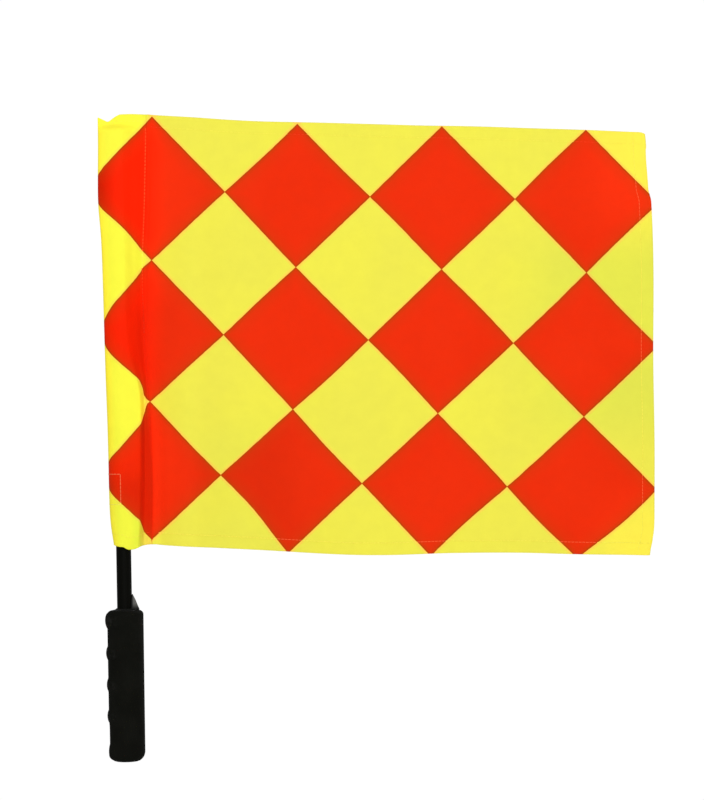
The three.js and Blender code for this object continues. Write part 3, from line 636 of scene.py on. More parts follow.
def pocket_surface(u, z, s):
    """Middle surface of one layer of the pocket: u = 0 at the fold, 1 at the seam. s = -1 is the front layer, +1 the back."""
    u, z = np.broadcast_arrays(np.asarray(u, float), np.asarray(z, float))
    xf, xs = fold_x(z) + HALF, seam_x(z)
    close = 1.0 - smooth(CLOSE_FROM, CLOSE_TO, z)
    full = (front_bulge(z) if s < 0 else back_bulge(z)) - HALF
    full = full + 0.16 * np.sin(z / 11.0 + 0.6) + 0.12 * np.sin(z / 6.1 + (1.0 if s < 0 else 2.2))
    bulge = full * close + (1 - close) * 0.70
    xm = np.minimum(1.0, xf + 14.5)
    xd = flank_x(z) if s < 0 else np.maximum(xm + 2.5, xs - back_drop(z))
    a = np.clip(u / 0.45, 0, 1) * (math.pi / 2)
    x1, y1 = xm - (xm - xf) * np.cos(a), bulge * np.sin(a)
    t2 = (u - 0.45) / 0.17
    x2, y2 = xm + (xd - xm) * t2, bulge * (1 - 0.04 * t2)
    t3 = np.clip((u - 0.62) / 0.38, 0, 1)
    if s < 0:
        # a steep upper part and a gentle lower part low down; one even slope near the closed top
        steep = 1 - smooth(238, 272, z)
        w, f = np.clip(t3 / 0.5, 0, 1), np.clip((t3 - 0.5) / 0.5, 0, 1)
        ease = lambda t: (1 - 0.6 * steep) * (t - 0.03 * np.sin(2 * math.pi * t)) + 0.6 * steep * smooth(0, 1, t)
        share = foot_share(z)
        x3 = xd + (foot_x(z) - xd) * w + (xs - foot_x(z)) * f
        y3 = bulge * 0.96 * (1 - share * ease(w) - (1 - share) * ease(f))
    else:
        x3, y3 = xd + (xs - xd) * (t3 * 0.82 + 0.18 * t3 * t3), bulge * 0.96 * (1 - smooth(0, 1, t3))
    x = np.where(u < 0.45, x1, np.where(u < 0.62, x2, x3))
    y = np.where(u < 0.45, y1, np.where(u < 0.62, y2, y3))
    shift = HINGE_Y * smooth(xm, xs, x) * close + (1 - close) * HINGE_Y * smooth(-10, 26, x)
    gap = half_gap(z, x) * smooth(0.05, 0.2, u)
    y = s * np.maximum(y, gap) + shift
    y = y + seam_pucker(x - xs, z) * smooth(0.7, 1.0, u)
    return x, y


def tucked(d, z):
    """Length of cloth hidden in the seam, as seen at a distance d from it towards the fly."""
    low, high = 1 - smooth(140, 175, z), smooth(440, 452, z)
    first = smooth(0.0, 1.0, (d + 1.8 - 2.1 * low) / (2.7 - 1.7 * low))
    late = 0.28 * (1 - low) * (1 - high) + high
    return tuck_len(z) * (1 - (1 - late) * first - late * smooth(0.7, 4.6, d))


def lip_y(x, z):
    """Depth of the front layer between the seam and the free cloth, with the ridge of the seam allowance."""
    xs = seam_x(z)
    d = x - xs
    ridge = smooth(0.2, 1.3, d) * (1 - smooth(3.6, 4.9, d))
    y = HINGE_Y - half_gap(z, x) * (1 - smooth(xs + 2.0, HINGE_X + 8.0, x)) - (0.2 + 0.8 * smooth(285, 320, z)) * ridge
    return y + seam_pucker(d, z)


def free_y(x, z):
    """Depth of the middle surface anywhere between the seam and the fly."""
    near = lip_y(x, z)
    return near + (ripple(x, z) - HINGE_Y) * smooth(HINGE_X - 1.0, HINGE_X + 3.0, x)


# the main grid: columns from the back of the seam, round the fold to the front, then out to the fly
NR = 190  # rows between the bottom and top edges
rows = np.linspace(0.0, 1.0, NR + 1)
US = np.concatenate([
    np.linspace(0.0, 0.45, 17) ** 1.0,
    np.linspace(0.45, 0.62, 7)[1:],
    np.linspace(0.62, 1.0, 21)[1:],
])
columns = []  # (x, y, z) arrays over the rows


def pocket_column(u, s):
    xb = float(pocket_surface(u, 114.0, s)[0])
    xt = float(pocket_surface(u, 462.0, s)[0])
    z0, z1 = float(pocket_bottom(xb, s)), float(pocket_top(xt))
    z = z0 + (z1 - z0) * rows
    x, y = pocket_surface(u, z, s)
    return np.stack([x, y, z], axis=-1)


for d in (3.4, 2.2, 1.0):  # back layer's raw edge, beyond the seam
    z0, z1 = float(pocket_bottom(22.0 + d, 1)), 465.4
    z = z0 + (z1 - z0) * rows
    x = seam_x(z) + d
    y = HINGE_Y + half_gap(z, x) + 0.0 * d + seam_pucker(np.full_like(z, d), z)
    columns.append(np.stack([x, y, z], axis=-1))
for u in US[::-1]:
    columns.append(pocket_column(u, 1))
FOLD_COLUMN = len(columns) - 1
for u in US[1:]:
    columns.append(pocket_column(u, -1))
SEAM_COLUMN = len(columns) - 1
LIP_N, PANEL_N = 7, 205
for k in range(1, LIP_N + 1):
    t = k / LIP_N
    xb = 22.0 + (HINGE_X - 22.0) * t
    z0, z1 = float(pocket_bottom(xb, -1)), 465.4
    z = z0 + (z1 - z0) * rows
    x = seam_x(z) + (HINGE_X - seam_x(z)) * t
    columns.append(np.stack([x, free_y(x, z), z], axis=-1))
HINGE_COLUMN = len(columns) - 1
for k in range(1, PANEL_N + 1):
    t = k / PANEL_N
    guess = FLY_X * t + HINGE_X * (1 - t)
    z = bottom_edge(guess) + (top_edge(guess) - bottom_edge(guess)) * rows
    x = HINGE_X + (fly_edge(z) - HINGE_X) * t
    z = bottom_edge(x) + (top_edge(x) - bottom_edge(x)) * rows
    columns.append(np.stack([x, free_y(x, z), z], axis=-1))
main = np.stack(columns)  # (columns, rows, 3)
NC = main.shape[0]


def grid_normals(g):
    ti = np.gradient(g, axis=0)
    tj = np.gradient(g, axis=1)
    return unit(np.cross(ti, tj))


main_n = grid_normals(main)  # out of the front, or out of the pocket

# flat place of each point of the cloth: X measured along the cloth, Z down from the top
flat_x = np.array(main[:, :, 0])
step_len = np.linalg.norm(np.diff(main[:, :, :2], axis=0), axis=-1)
for i in range(SEAM_COLUMN - 1, -1, -1):
    flat_x[i] = flat_x[i + 1] - step_len[i]
from_seam = main[:, :, 0] - seam_x(main[:, :, 2])
from_seam[:FOLD_COLUMN] = -30.0
flat_x = flat_x - tucked(from_seam, main[:, :, 2])
flat_z = np.array(main[:, :, 2])


def along(array, at):
    """array sampled at fractional row numbers."""
    lo = int(min(max(math.floor(at), 0), array.shape[1] - 2))
    f = at - lo
    return array[:, lo] * (1 - f) + array[:, lo + 1] * f


# rows beyond the edges turn to the reverse side as hems
height = np.linalg.norm(main[:, -1] - main[:, 0], axis=-1)
base, normal, lift, fx, fz = [], [], [], [], []  # one entry a row of the whole grid
back_steps = [0.9, 3.0, 5.5, 7.8, HEM + 0.9]
turn_steps = [1.0, 0.75, 0.5, 0.25]


def hem_rows(bottom):
    edge_row = 0 if bottom else NR
    inner = 1 if bottom else NR - 1
    p0, n0 = main[:, edge_row], main_n[:, edge_row]
    out = unit(p0 - main[:, inner])
    got = []
    sign = -1.0 if bottom else 1.0
    for d in reversed(back_steps):
        at = d / 351.0 * NR
        at = at if bottom else NR - at
        got.append((along(main, at), unit(along(main_n, at)), 2 * TURN, along(flat_x, at), flat_z[:, edge_row] + sign * d))
    for t in turn_steps:
        a = t * math.pi
        got.append((p0 + out * TURN * math.sin(a), n0, TURN * (1 - math.cos(a)), flat_x[:, edge_row], flat_z[:, edge_row] + sign * 0.4 * t))
    return got


grid_rows = hem_rows(True)
first_main = len(grid_rows)
for j in range(NR + 1):
    grid_rows.append((main[:, j], main_n[:, j], 0.0, flat_x[:, j], flat_z[:, j]))
last_main = len(grid_rows) - 1
grid_rows.extend(reversed(hem_rows(False)))
NJ = len(grid_rows)
base = np.stack([r[0] for r in grid_rows], axis=1)
normal = np.stack([r[1] for r in grid_rows], axis=1)
lift = np.array([r[2] for r in grid_rows])
fx = np.stack([r[3] for r in grid_rows], axis=1)
fz = np.stack([r[4] for r in grid_rows], axis=1)

# columns beyond the fly turn to the reverse side over whatever is folded there
edge_d = np.minimum(np.arange(NJ) - first_main, last_main - np.arange(NJ)) * (351.0 / NR)
stack = 2 * TURN * (1 - smooth(HEM + 0.5, HEM + 4.0, edge_d))
centre = stack + TURN
final = [base[i] - normal[i] * lift[:, None] for i in range(NC)]
final_fx = [fx[i] for i in range(NC)]
final_fz = [fz[i] for i in range(NC)]
out = unit(base[-1] - base[-2])
arm = centre - lift
for t in reversed(turn_steps):
    a = t * math.pi
    final.append(base[-1] + out * (arm * math.sin(a))[:, None] - normal[-1] * (centre - arm * math.cos(a))[:, None])
    final_fx.append(fx[-1] + 0.4 * t)
    final_fz.append(fz[-1])
col_step = float(np.mean(base[-1, :, 0] - base[-2, :, 0]))
for d in back_steps:
    at = NC - 1 - d / col_step
    lo = int(math.floor(at))
    f = at - lo
    b = base[lo] * (1 - f) + base[lo + 1] * f
    n = unit(normal[lo] * (1 - f) + normal[lo + 1] * f)
    final.append(b - n * (2 * centre - lift)[:, None])
    final_fx.append(fx[-1] + d)
    final_fz.append(fz[lo] * (1 - f) + fz[lo + 1] * f)
grid = np.stack(final)
uv_x, uv_z = np.stack(final_fx), np.stack(final_fz)


def even_lattice(x, z):
    d = 463.5 - z + droop(np.maximum(x, 0.0))
    lean = np.interp(z, [97, 114, 231, 347, 463], [-12.6, -11.8, -6.6, -2.3, 0.0])
    return (x - 27.9 - lean) / PITCH_X, d / PITCH_Z


# where the diamonds' corners meet and the middles of their sides lie on the stretched cloth: X, Z, column, row
MEETINGS = np.array([
    (29.1, 463.8, 0, 0), (147.8, 455.9, 1, 0), (265.9, 451.9, 2, 0), (383.6, 446.9, 3, 0), (26.8, 346.7, 0, 1),
    (144.6, 338.9, 1, 1), (263.6, 335.2, 2, 1), (381.7, 330.2, 3, 1), (23.6, 231.1, 0, 2), (140.1, 222.7, 1, 2),
    (258.7, 217.4, 2, 2), (377.4, 212.7, 3, 2), (18.0, 114.6, 0, 3), (134.1, 105.3, 1, 3), (250.7, 101.3, 2, 3),
    (370.3, 97.5, 3, 3), (87.5, 401.6, 0.5, 0.5), (206.2, 395.5, 1.5, 0.5), (324.3, 391.2, 2.5, 0.5),
    (441.8, 386.1, 3.5, 0.5), (84.4, 284.8, 0.5, 1.5), (202.7, 278.4, 1.5, 1.5), (321.2, 273.7, 2.5, 1.5),
    (439.2, 269.3, 3.5, 1.5), (80.1, 170.0, 0.5, 2.5), (195.5, 161.3, 1.5, 2.5), (314.4, 156.5, 2.5, 2.5),
    (436.3, 152.0, 3.5, 2.5), (58.4, 432.6, 0.25, 0.25), (117.7, 428.2, 0.75, 0.25), (176.4, 425.5, 1.25, 0.25),
    (235.8, 423.7, 1.75, 0.25), (294.8, 421.3, 2.25, 0.25), (353.3, 419.4, 2.75, 0.25), (412.8, 416.3, 3.25, 0.25),
    (56.9, 373.7, 0.25, 0.75), (116.1, 370.1, 0.75, 0.75), (175.5, 366.9, 1.25, 0.75), (235.2, 365.7, 1.75, 0.75),
    (293.9, 362.8, 2.25, 0.75), (353.0, 360.6, 2.75, 0.75), (411.5, 358.5, 3.25, 0.75), (55.7, 315.7, 0.25, 1.25),
    (113.9, 312.0, 0.75, 1.25), (173.3, 308.7, 1.25, 1.25), (232.9, 306.4, 1.75, 1.25), (292.9, 305.2, 2.25, 1.25),
    (351.5, 301.4, 2.75, 1.25), (409.9, 299.3, 3.25, 1.25), (53.7, 257.5, 0.25, 1.75), (112.1, 253.7, 0.75, 1.75),
    (172.0, 249.8, 1.25, 1.75), (231.0, 248.6, 1.75, 1.75), (289.8, 245.2, 2.25, 1.75), (348.7, 243.2, 2.75, 1.75),
    (408.6, 240.8, 3.25, 1.75), (51.7, 200.3, 0.25, 2.25), (109.8, 196.0, 0.75, 2.25), (167.2, 191.5, 1.25, 2.25),
    (227.5, 189.6, 1.75, 2.25), (287.0, 187.1, 2.25, 2.25), (346.0, 184.3, 2.75, 2.25), (406.9, 182.7, 3.25, 2.25),
    (48.7, 141.2, 0.25, 2.75), (108.5, 138.9, 0.75, 2.75), (164.6, 133.4, 1.25, 2.75), (223.1, 131.1, 1.75, 2.75),
    (282.2, 129.8, 2.25, 2.75), (341.0, 126.5, 2.75, 2.75), (404.4, 123.1, 3.25, 2.75),
])
REACH = 42.0
_mu, _mv = even_lattice(MEETINGS[:, 0], MEETINGS[:, 1])
_near = np.exp(-((MEETINGS[:, None, 0] - MEETINGS[None, :, 0]) ** 2 + (MEETINGS[:, None, 1] - MEETINGS[None, :, 1]) ** 2) / REACH ** 2)
_wu = np.linalg.solve(_near, _mu - MEETINGS[:, 2])
_wv = np.linalg.solve(_near, _mv - MEETINGS[:, 3])


def pattern_uv(x, z):
    """Column and row of the diamond lattice at a flat place on the cloth."""
    u, v = even_lattice(x, z)
    for (cx, cz, _c, _r), wu, wv in zip(MEETINGS, _wu, _wv):
        k = np.exp(-((x - cx) ** 2 + (z - cz) ** 2) / REACH ** 2)
        u, v = u - wu * k, v - wv * k
    return np.stack([u, v], axis=-1)


def painted_light_map():
    """Per point of the grid, the painted light and shade of the red and of the yellow: factors that darken or brighten
    the cloth's colour.
    """
    x, z = grid[..., 0], grid[..., 2]
    side = np.where(np.arange(grid.shape[0]) <= FOLD_COLUMN, 0.0, 1.0)[:, None]
    # painted shade over the folded seam allowance beside the shaft, behind the lower part of the pocket; it ends in a
    # clear line at the seam
    edge_width = 0.5 + 2.6 * smooth(176, 214, z)
    allowance = smooth(13.0, 18.5, x) * (1 - smooth(seam_x(z) + 0.5 - edge_width, seam_x(z) + 0.5 + edge_width, x))
    allowance = allowance * (1 - smooth(214, 262, z))
    # painted shade at the foot of the pocket, over the loop patch and the turned hem
    foot = (1 - smooth(seam_x(z) - 9.0, seam_x(z) - 3.0, x)) * (0.09 * (1 - smooth(190, 232, z)) + 0.15 * (1 - smooth(158, 186, z)))
    # painted shade along the fold's edge, high on the pocket
    fold_edge_shade = 0.30 * (1 - smooth(0.0, 20.0, x - fold_x(z))) * smooth(355, 385, z)
    red = 1.0 - side * np.maximum(np.maximum(0.27 * allowance, foot), fold_edge_shade)
    # painted shade in a crease of the front layer
    crease_shade = 0.12 * gauss(x, 16.5, 5.0) * smooth(240, 262, z) * (1 - smooth(292, 314, z))
    red = red - side * crease_shade
    # the yellow takes the foot's painted shade, and painted light over the seam allowance low down
    yellow = 1.0 - side * (0.30 * foot - 0.26 * allowance * smooth(118, 146, z))
    # painted shade where the foot of the pocket turns away beside the shaft, down to the seam
    turning_shade = (1 - smooth(126, 150, z)) * (1 - smooth(21.5, 24.5, x))
    yellow = yellow - side * turning_shade * 0.07 * smooth(5.0, 13.0, x)
    # painted light on the yellow along the fold's edge
    yellow = yellow + 0.26 * side * (1 - smooth(0.0, 8.5, x - fold_x(z)))
    # painted light where the pocket closes at the top
    closing_painted_light = 0.13 * smooth(450.0, 454.0, z) * (1 - smooth(458.0, 461.5, z)) * (1 - smooth(18.0, 25.0, x))
    red, yellow = red + closing_painted_light, yellow + closing_painted_light
    # painted light and shade over the free cloth: brighter near the seam and near the fly's top and bottom corners,
    # darker low on the left, the yellow shaded in the middle right
    near, far = 1 - smooth(34, 78, x), smooth(358, 425, x)
    low_left_shade = smooth(40, 86, x) * (1 - smooth(110, 175, x)) * (1 - smooth(196, 236, z))
    lit = far * np.maximum(smooth(330, 415, z), 1 - smooth(112, 168, z))
    middle = smooth(208, 242, z) * (1 - smooth(300, 345, z))
    red = red * (1 + 0.085 * near * smooth(23.0, 25.0, x) * (1 - 0.7 * middle)) * (1 - 0.045 * near * middle) * (1 - 0.125 * low_left_shade) * (1 + 0.13 * lit)
    shaded = smooth(300, 380, x) * smooth(170, 230, z) * (1 - smooth(330, 390, z))
    yellow = yellow * (1 - 0.03 * low_left_shade) * (1 + 0.15 * lit) * (1 - 0.10 * shaded)
    return np.stack([red, yellow], axis=-1)


def solid_sheet(name, g, uvs, painted_light, half, material):
    n = grid_normals(g)
    ni, nj = g.shape[:2]
    verts = np.concatenate([(g + n * half).reshape(-1, 3), (g - n * half).reshape(-1, 3)])
    uv = np.concatenate([uvs.reshape(-1, 2)] * 2)
    painted_light = np.concatenate([painted_light.reshape(-1, 2)] * 2)
    a = np.arange(ni * nj).reshape(ni, nj)
    b = a + ni * nj
    quads = [
        np.stack([a[:-1, :-1], a[1:, :-1], a[1:, 1:], a[:-1, 1:]], axis=-1),
        np.stack([b[:-1, :-1], b[:-1, 1:], b[1:, 1:], b[1:, :-1]], axis=-1),
    ]
    faces = np.concatenate([q.reshape(-1, 4) for q in quads])
    rim = np.concatenate([
        np.stack([a[:-1, 0], b[:-1, 0], b[1:, 0], a[1:, 0]], axis=-1),
        np.stack([a[:-1, -1], a[1:, -1], b[1:, -1], b[:-1, -1]], axis=-1),
        np.stack([a[0, :-1], a[0, 1:], b[0, 1:], b[0, :-1]], axis=-1),
        np.stack([a[-1, :-1], b[-1, :-1], b[-1, 1:], a[-1, 1:]], axis=-1),
    ])
    return add_mesh(name, verts, np.concatenate([faces, rim]).tolist(), material, uv=uv, painted_light=painted_light)


# the cloth sheet carries its painted light and shade in the Depth layer
cloth = solid_sheet("cloth_sheet", grid, pattern_uv(uv_x, uv_z), painted_light_map(), HALF, CLOTH)


# ---------------------------------------------------------------- stitching
def stitch_row(points, normals, flats, length=2.7, gap=0.55, rise=HALF, thick=1.0):
    """Stitches along a path that lies on the middle surface; they stand on the side of the normals."""
    points, normals = np.asarray(points, float), unit(np.asarray(normals, float))
    flats = np.stack(np.broadcast_arrays(*flats), axis=-1)
    dist = np.concatenate([[0.0], np.cumsum(np.linalg.norm(np.diff(points, axis=0), axis=1))])
    count = max(1, int(dist[-1] // (length + gap)))
    pitch = dist[-1] / count
    share = length / (length + gap)
    stations = np.array([0.0, 0.12, 0.32, 0.5, 0.68, 0.88, 1.0])
    rises = np.array([-0.16, 0.02, 0.10, 0.12, 0.10, 0.02, -0.16])
    s = (np.arange(count) * pitch)[:, None] + (stations * pitch * share)[None, :]
    at = lambda a: np.stack([np.interp(s, dist, a[:, c]) for c in range(a.shape[1])], axis=-1)
    p, n = at(points), unit(at(normals))
    p = p + n * (rise + rises[None, :, None])
    width = 0.16 * thick * np.array([0.55, 0.88, 1.0, 1.0, 1.0, 0.88, 0.55])
    tall = 0.13 * min(thick, 1.3) * np.array([0.55, 0.88, 1.0, 1.0, 1.0, 0.88, 0.55])
    verts, faces = sweep(p, n, width, tall, 8)
    place = at(flats)
    uv = np.repeat(pattern_uv(place[..., 0], place[..., 1])[:, :, None, :], 8, axis=2)
    return verts, faces, uv.reshape(-1, 2)


def stitches(name, rows_of, material=THREAD):
    verts, faces = merged([(v, f) for v, f, _ in rows_of])
    return add_mesh(name, verts, faces, material, uv=np.concatenate([r[2] for r in rows_of]))


def panel_normal(x, z):
    e = 0.5
    gx = (free_y(x + e, z) - free_y(x - e, z)) / (2 * e)
    gz = (free_y(x, z + e) - free_y(x, z - e)) / (2 * e)
    return unit(np.stack([gx, -np.ones_like(gx), gz], axis=-1))


def panel_rows(x, z, **front):
    """Stitches on both sides of the free cloth along x, z."""
    p = np.stack([x, free_y(x, z), z], axis=-1)
    n = panel_normal(x, z)
    return [stitch_row(p, n, (x, z), **front), stitch_row(p, -n, (x, z), rise=HALF + 2 * TURN)]


def pocket_path(us, zs, s):
    """Points and outward normals on the pocket's middle surface."""
    us, zs = np.broadcast_arrays(np.asarray(us, float), np.asarray(zs, float))
    x, y = pocket_surface(us, zs, s)
    e = 0.004
    xa, ya = pocket_surface(np.clip(us - e, 0, 1), zs, s)
    xb, yb = pocket_surface(np.clip(us + e, 0, 1), zs, s)
    tx, ty = xb - xa, yb - ya
    n = np.stack([ty, -tx, np.zeros_like(tx)], axis=-1) * (1.0 if s < 0 else -1.0)
    n = unit(n)
    # the flat place: along the front layer from the seam, and for the back layer on round the fold
    chain = np.linspace(0.0, 1.0, 301)
    fx = []
    for u, z in zip(us, zs):
        cx, cy = pocket_surface(chain, np.full_like(chain, z), -1)
        run = np.concatenate([[0.0], np.cumsum(np.hypot(np.diff(cx), np.diff(cy)))])
        fold = float(seam_x(z) - tuck_len(z)) - run[-1]
        if s > 0:
            cx, cy = pocket_surface(chain, np.full_like(chain, z), 1)
            run = -np.concatenate([[0.0], np.cumsum(np.hypot(np.diff(cx), np.diff(cy)))])
        fx.append(fold + np.interp(u, chain, run))
    return np.stack([x, y, zs], axis=-1), n, (np.array(fx), zs)


xs_line = np.arange(HINGE_X + 1.5, FLY_X - 3.0, 1.0)
hem_top = stitches("hem_stitches_top", panel_rows(xs_line, top_edge(xs_line) - HEM))
hem_bottom = stitches("hem_stitches_bottom", panel_rows(xs_line, bottom_edge(xs_line) + HEM, gap=0.25, thick=1.9), HEM_THREAD)
zs_line = np.arange(99.0 + 2.0, 444.0, 1.0)
hem_fly = stitches("hem_stitches_fly", panel_rows(fly_edge(zs_line) - HEM, zs_line, gap=0.25, thick=1.9), HEM_THREAD)

# the pocket's own stitching: its long seam, the hem of its mouth, and its closed top
zs_line = np.arange(116.0, 455.5, 1.0)
seam_xs = seam_x(zs_line) + 0.9 - 0.9 * smooth(305, 345, zs_line)
p = np.stack([seam_xs, lip_y(seam_xs, zs_line), zs_line], axis=-1)
n = panel_normal(seam_xs, zs_line)
back = p.copy()
back[:, 1] = HINGE_Y + half_gap(zs_line, seam_xs) + seam_pucker(np.full_like(zs_line, 0.9), zs_line)
round_to = seam_x(zs_line) - tuck_len(zs_line) - 2 * (seam_x(zs_line) - fold_x(zs_line) + 7.0)
low, high = zs_line < 287, zs_line > 286
seam_obj = stitches("pocket_seam_stitches", [
    stitch_row(p[low], n[low], (seam_xs[low], zs_line[low])),
    stitch_row(p[high], n[high], (seam_xs[high], zs_line[high]), gap=0.2, thick=4.4),
    stitch_row(back, -n, (round_to, zs_line)),
], SEAM_THREAD)
parts = []
for s in (-1, 1):
    us = np.linspace(0.02, 0.97, 60)
    order = us if s < 0 else us[::-1]
    xb = pocket_surface(order, np.full_like(order, 114.0), s)[0]
    zb = pocket_bottom(xb, s) + HEM
    parts.append(stitch_row(*pocket_path(order, zb, s)))
    order = np.linspace(0.04, 0.98, 60)
    xt = pocket_surface(order, np.full_like(order, 462.0), s)[0]
    zt = np.minimum(pocket_top(xt) - 3.4, 460.5)
    parts.append(stitch_row(*pocket_path(order, zt, s)))
mouth_obj = stitches("pocket_end_stitches", parts)

# the box of stitching that holds the loop patch, round the fold of the pocket
PATCH_Z = (148.0, 172.6)
for s, label in ((-1, "front"), (1, "back")):
    parts = []
    for z in PATCH_Z:
        us = np.linspace(0.0, 0.41, 30)
        parts.append(stitch_row(*pocket_path(us, np.full_like(us, z), s), length=2.9, gap=0.08, thick=2.5))
    zs_line = np.linspace(PATCH_Z[0], PATCH_Z[1], 30)
    parts.append(stitch_row(*pocket_path(np.full_like(zs_line, 0.41), zs_line, s), length=2.9, gap=0.08, thick=2.5))
    obj = stitches(f"patch_stitches_{label}", parts, PATCH_THREAD)
    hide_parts(f"patch_stitch_{label}")
    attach(obj, "pocket")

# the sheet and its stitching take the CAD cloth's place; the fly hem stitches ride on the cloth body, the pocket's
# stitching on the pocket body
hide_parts("flag_panel", "pole_pocket")
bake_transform(cloth)
for obj, node in ((hem_top, "top_hem_thread"), (hem_bottom, "bottom_hem_thread"), (hem_fly, "fly_hem_thread")):
    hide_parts(node)
    if node == "fly_hem_thread":
        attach(obj, "cloth")
    else:
        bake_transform(obj)
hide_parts("pocket_seam_thread")
for obj in (seam_obj, mouth_obj):
    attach(obj, "pocket")

# ------------------------------------------------------------------- handle
RIDGE_Z = [53.1, 26.6, 0.7, -24.9, -54.2]
RIDGE_OUT = [1.75, 1.35, 1.2, 1.15, 0.95]
RIDGE_HALF = [6.6, 5.6, 5.4, 5.4, 6.6]
GRIP_R, GRIP_BORE = 14.35, 10.3
GRIP_BOTTOM, GRIP_TOP = -61.2, 61.2


def ridge_add(theta, z):
    side = np.maximum(0.0, np.cos(theta - math.pi))
    fade = smooth(0.12, 0.62, side)
    r = np.zeros_like(theta)
    for zc, out_by, half in zip(RIDGE_Z, RIDGE_OUT, RIDGE_HALF):
        d = abs(z - zc)
        r = r + out_by * fade * max(0.0, 1 - (d / half) ** 2.2)
    palm = np.maximum(0.0, np.cos(theta))  # the palm side swells a little
    return r + (0.72 + 0.0035 * z - 1.3 * float(1 - smooth(-60.5, -54.0, z))) * palm - 0.5 * side * float(1 - smooth(-36, -24, z))


def grip_mesh():
    segments = 128
    angles = np.arange(segments) / segments * 2 * math.pi
    levels = []  # (z, inset, share of the ridges)
    for t in np.linspace(0, 1, 9):
        a = t * math.pi / 2
        levels.append((GRIP_BOTTOM + 4.2 * (1 - math.cos(a)), 4.2 * (1 - math.sin(a))))
    for z in np.arange(-57.0, 57.6, 0.5):
        levels.append((z, 0.0))
    for t in np.linspace(1, 0, 9):
        a = t * math.pi / 2
        levels.append((GRIP_TOP - 3.6 * (1 - math.cos(a)), 3.6 * (1 - math.sin(a))))
    rings = []
    for z, inset in levels:
        r = np.maximum(GRIP_R + ridge_add(angles, z) - inset, 10.95)
        rings.append(np.stack([r * np.cos(angles), r * np.sin(angles), np.full(segments, z)], axis=-1))
    for z, r in ((GRIP_TOP + 0.0, 10.9), (GRIP_TOP - 0.35, 10.45), (GRIP_TOP - 1.2, GRIP_BORE), (GRIP_BOTTOM + 1.2, GRIP_BORE), (GRIP_BOTTOM + 0.35, 10.45), (GRIP_BOTTOM, 10.9)):
        rings.append(np.stack([r * np.cos(angles), r * np.sin(angles), np.full(segments, z)], axis=-1))
    verts = np.stack(rings)
    index = np.arange(verts.shape[0] * segments).reshape(-1, segments)
    faces = []
    for j in range(len(rings)):
        a, b = index[j], index[(j + 1) % len(rings)]
        for i in range(segments):
            n = (i + 1) % segments
            faces.append([a[i], a[n], b[n], b[i]])
    return verts.reshape(-1, 3), faces


v, f = grip_mesh()
grip = add_mesh("grip", v, outward(v, f), GRIP)
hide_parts("grip_sleeve")
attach(grip, "handle")

# neck: a round head with a thumb fin on the cloth's side, merged into one skin
FIN = [
    [61.4, 12.1], [62.2, 12.1], [62.7, 11.9], [64.6, 11.0], [66.9, 10.1], [69.6, 9.05], [72.0, 7.9], [73.6, 7.0], [74.4, 6.8],
]


def neck_mesh():
    head_v, head_f = lathe([
        [6.4, 47.0], [7.7, 47.0], [7.7, 58.3], [10.0, 58.3], [10.0, 61.5], [9.0, 61.65], [8.2, 61.85],
        [7.5, 62.1], [7.1, 62.5], [6.95, 62.9], [6.4, 62.9],
    ], 96)
    head_f = outward(head_v, head_f)
    rings = []
    for z, xo in FIN:
        half = 3.2 - 1.2 * float(smooth(69.0, 74.4, z))
        ring = []
        for t in np.linspace(-1, 1, 9):  # inner face, on the bore
            yy = half * t
            ring.append([math.sqrt(6.42 ** 2 - yy * yy), yy, z])
        for t in np.linspace(1, -1, 13)[1:-1]:  # outer face, a rounded nose
            yy = half * math.copysign(abs(t) ** 0.8, t)
            base_x = math.sqrt(6.42 ** 2 - yy * yy)
            ring.append([base_x + (xo - 6.42) * (1 - abs(t) ** 3.2) + 0.25 * abs(t), yy, z])
        rings.append(ring)
    n = len(rings[0])
    fin_v = [p for ring in rings for p in ring]
    fin_f = []
    for k in range(len(rings) - 1):
        for i in range(n):
            j = (i + 1) % n
            fin_f.append([k * n + i, k * n + j, (k + 1) * n + j, (k + 1) * n + i])
    fin_f.append(list(range(n))[::-1])
    fin_f.append([(len(rings) - 1) * n + i for i in range(n)])
    fin_f = outward(fin_v, fin_f)
    return merged([(head_v, head_f), (fin_v, fin_f)])


def remeshed(name, verts, faces, voxel_mm, rounds, material):
    """One watertight skin round overlapping solids, with softened inner corners."""
    obj = add_mesh(name + "_raw", verts, faces, material)
    mod = obj.modifiers.new("skin", "REMESH")
    mod.mode = "VOXEL"
    mod.voxel_size = voxel_mm * MM
    ease = obj.modifiers.new("ease", "SMOOTH")
    ease.factor = 0.5
    ease.iterations = rounds
    deps = bpy.context.evaluated_depsgraph_get()
    mesh = bpy.data.meshes.new_from_object(obj.evaluated_get(deps))
    mesh.name = name
    if not mesh.materials:
        mesh.materials.append(material)
    mesh.polygons.foreach_set("use_smooth", [True] * len(mesh.polygons))
    bpy.data.objects.remove(obj, do_unlink=True)
    new = bpy.data.objects.new(name, mesh)
    scene.collection.objects.link(new)
    return new


v, f = neck_mesh()
neck = remeshed("neck", v, f, 0.28, 4, NECK)
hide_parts("neck_collar")
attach(neck, "handle")

v, f = lathe([
    [0, -61.45], [4.0, -61.45], [4.35, -61.53], [4.6, -61.8], [8.9, -61.8], [9.45, -61.72], [9.8, -61.5], [9.95, -61.1],
    [10.0, -60.4], [10.0, -51.5], [9.85, -51.1], [8.7, -51.1], [8.7, -59.4], [0, -59.4],
], 112)
cap = add_mesh("butt_cap", v, outward(v, f), CORE)
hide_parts("end_cap")
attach(cap, "handle")

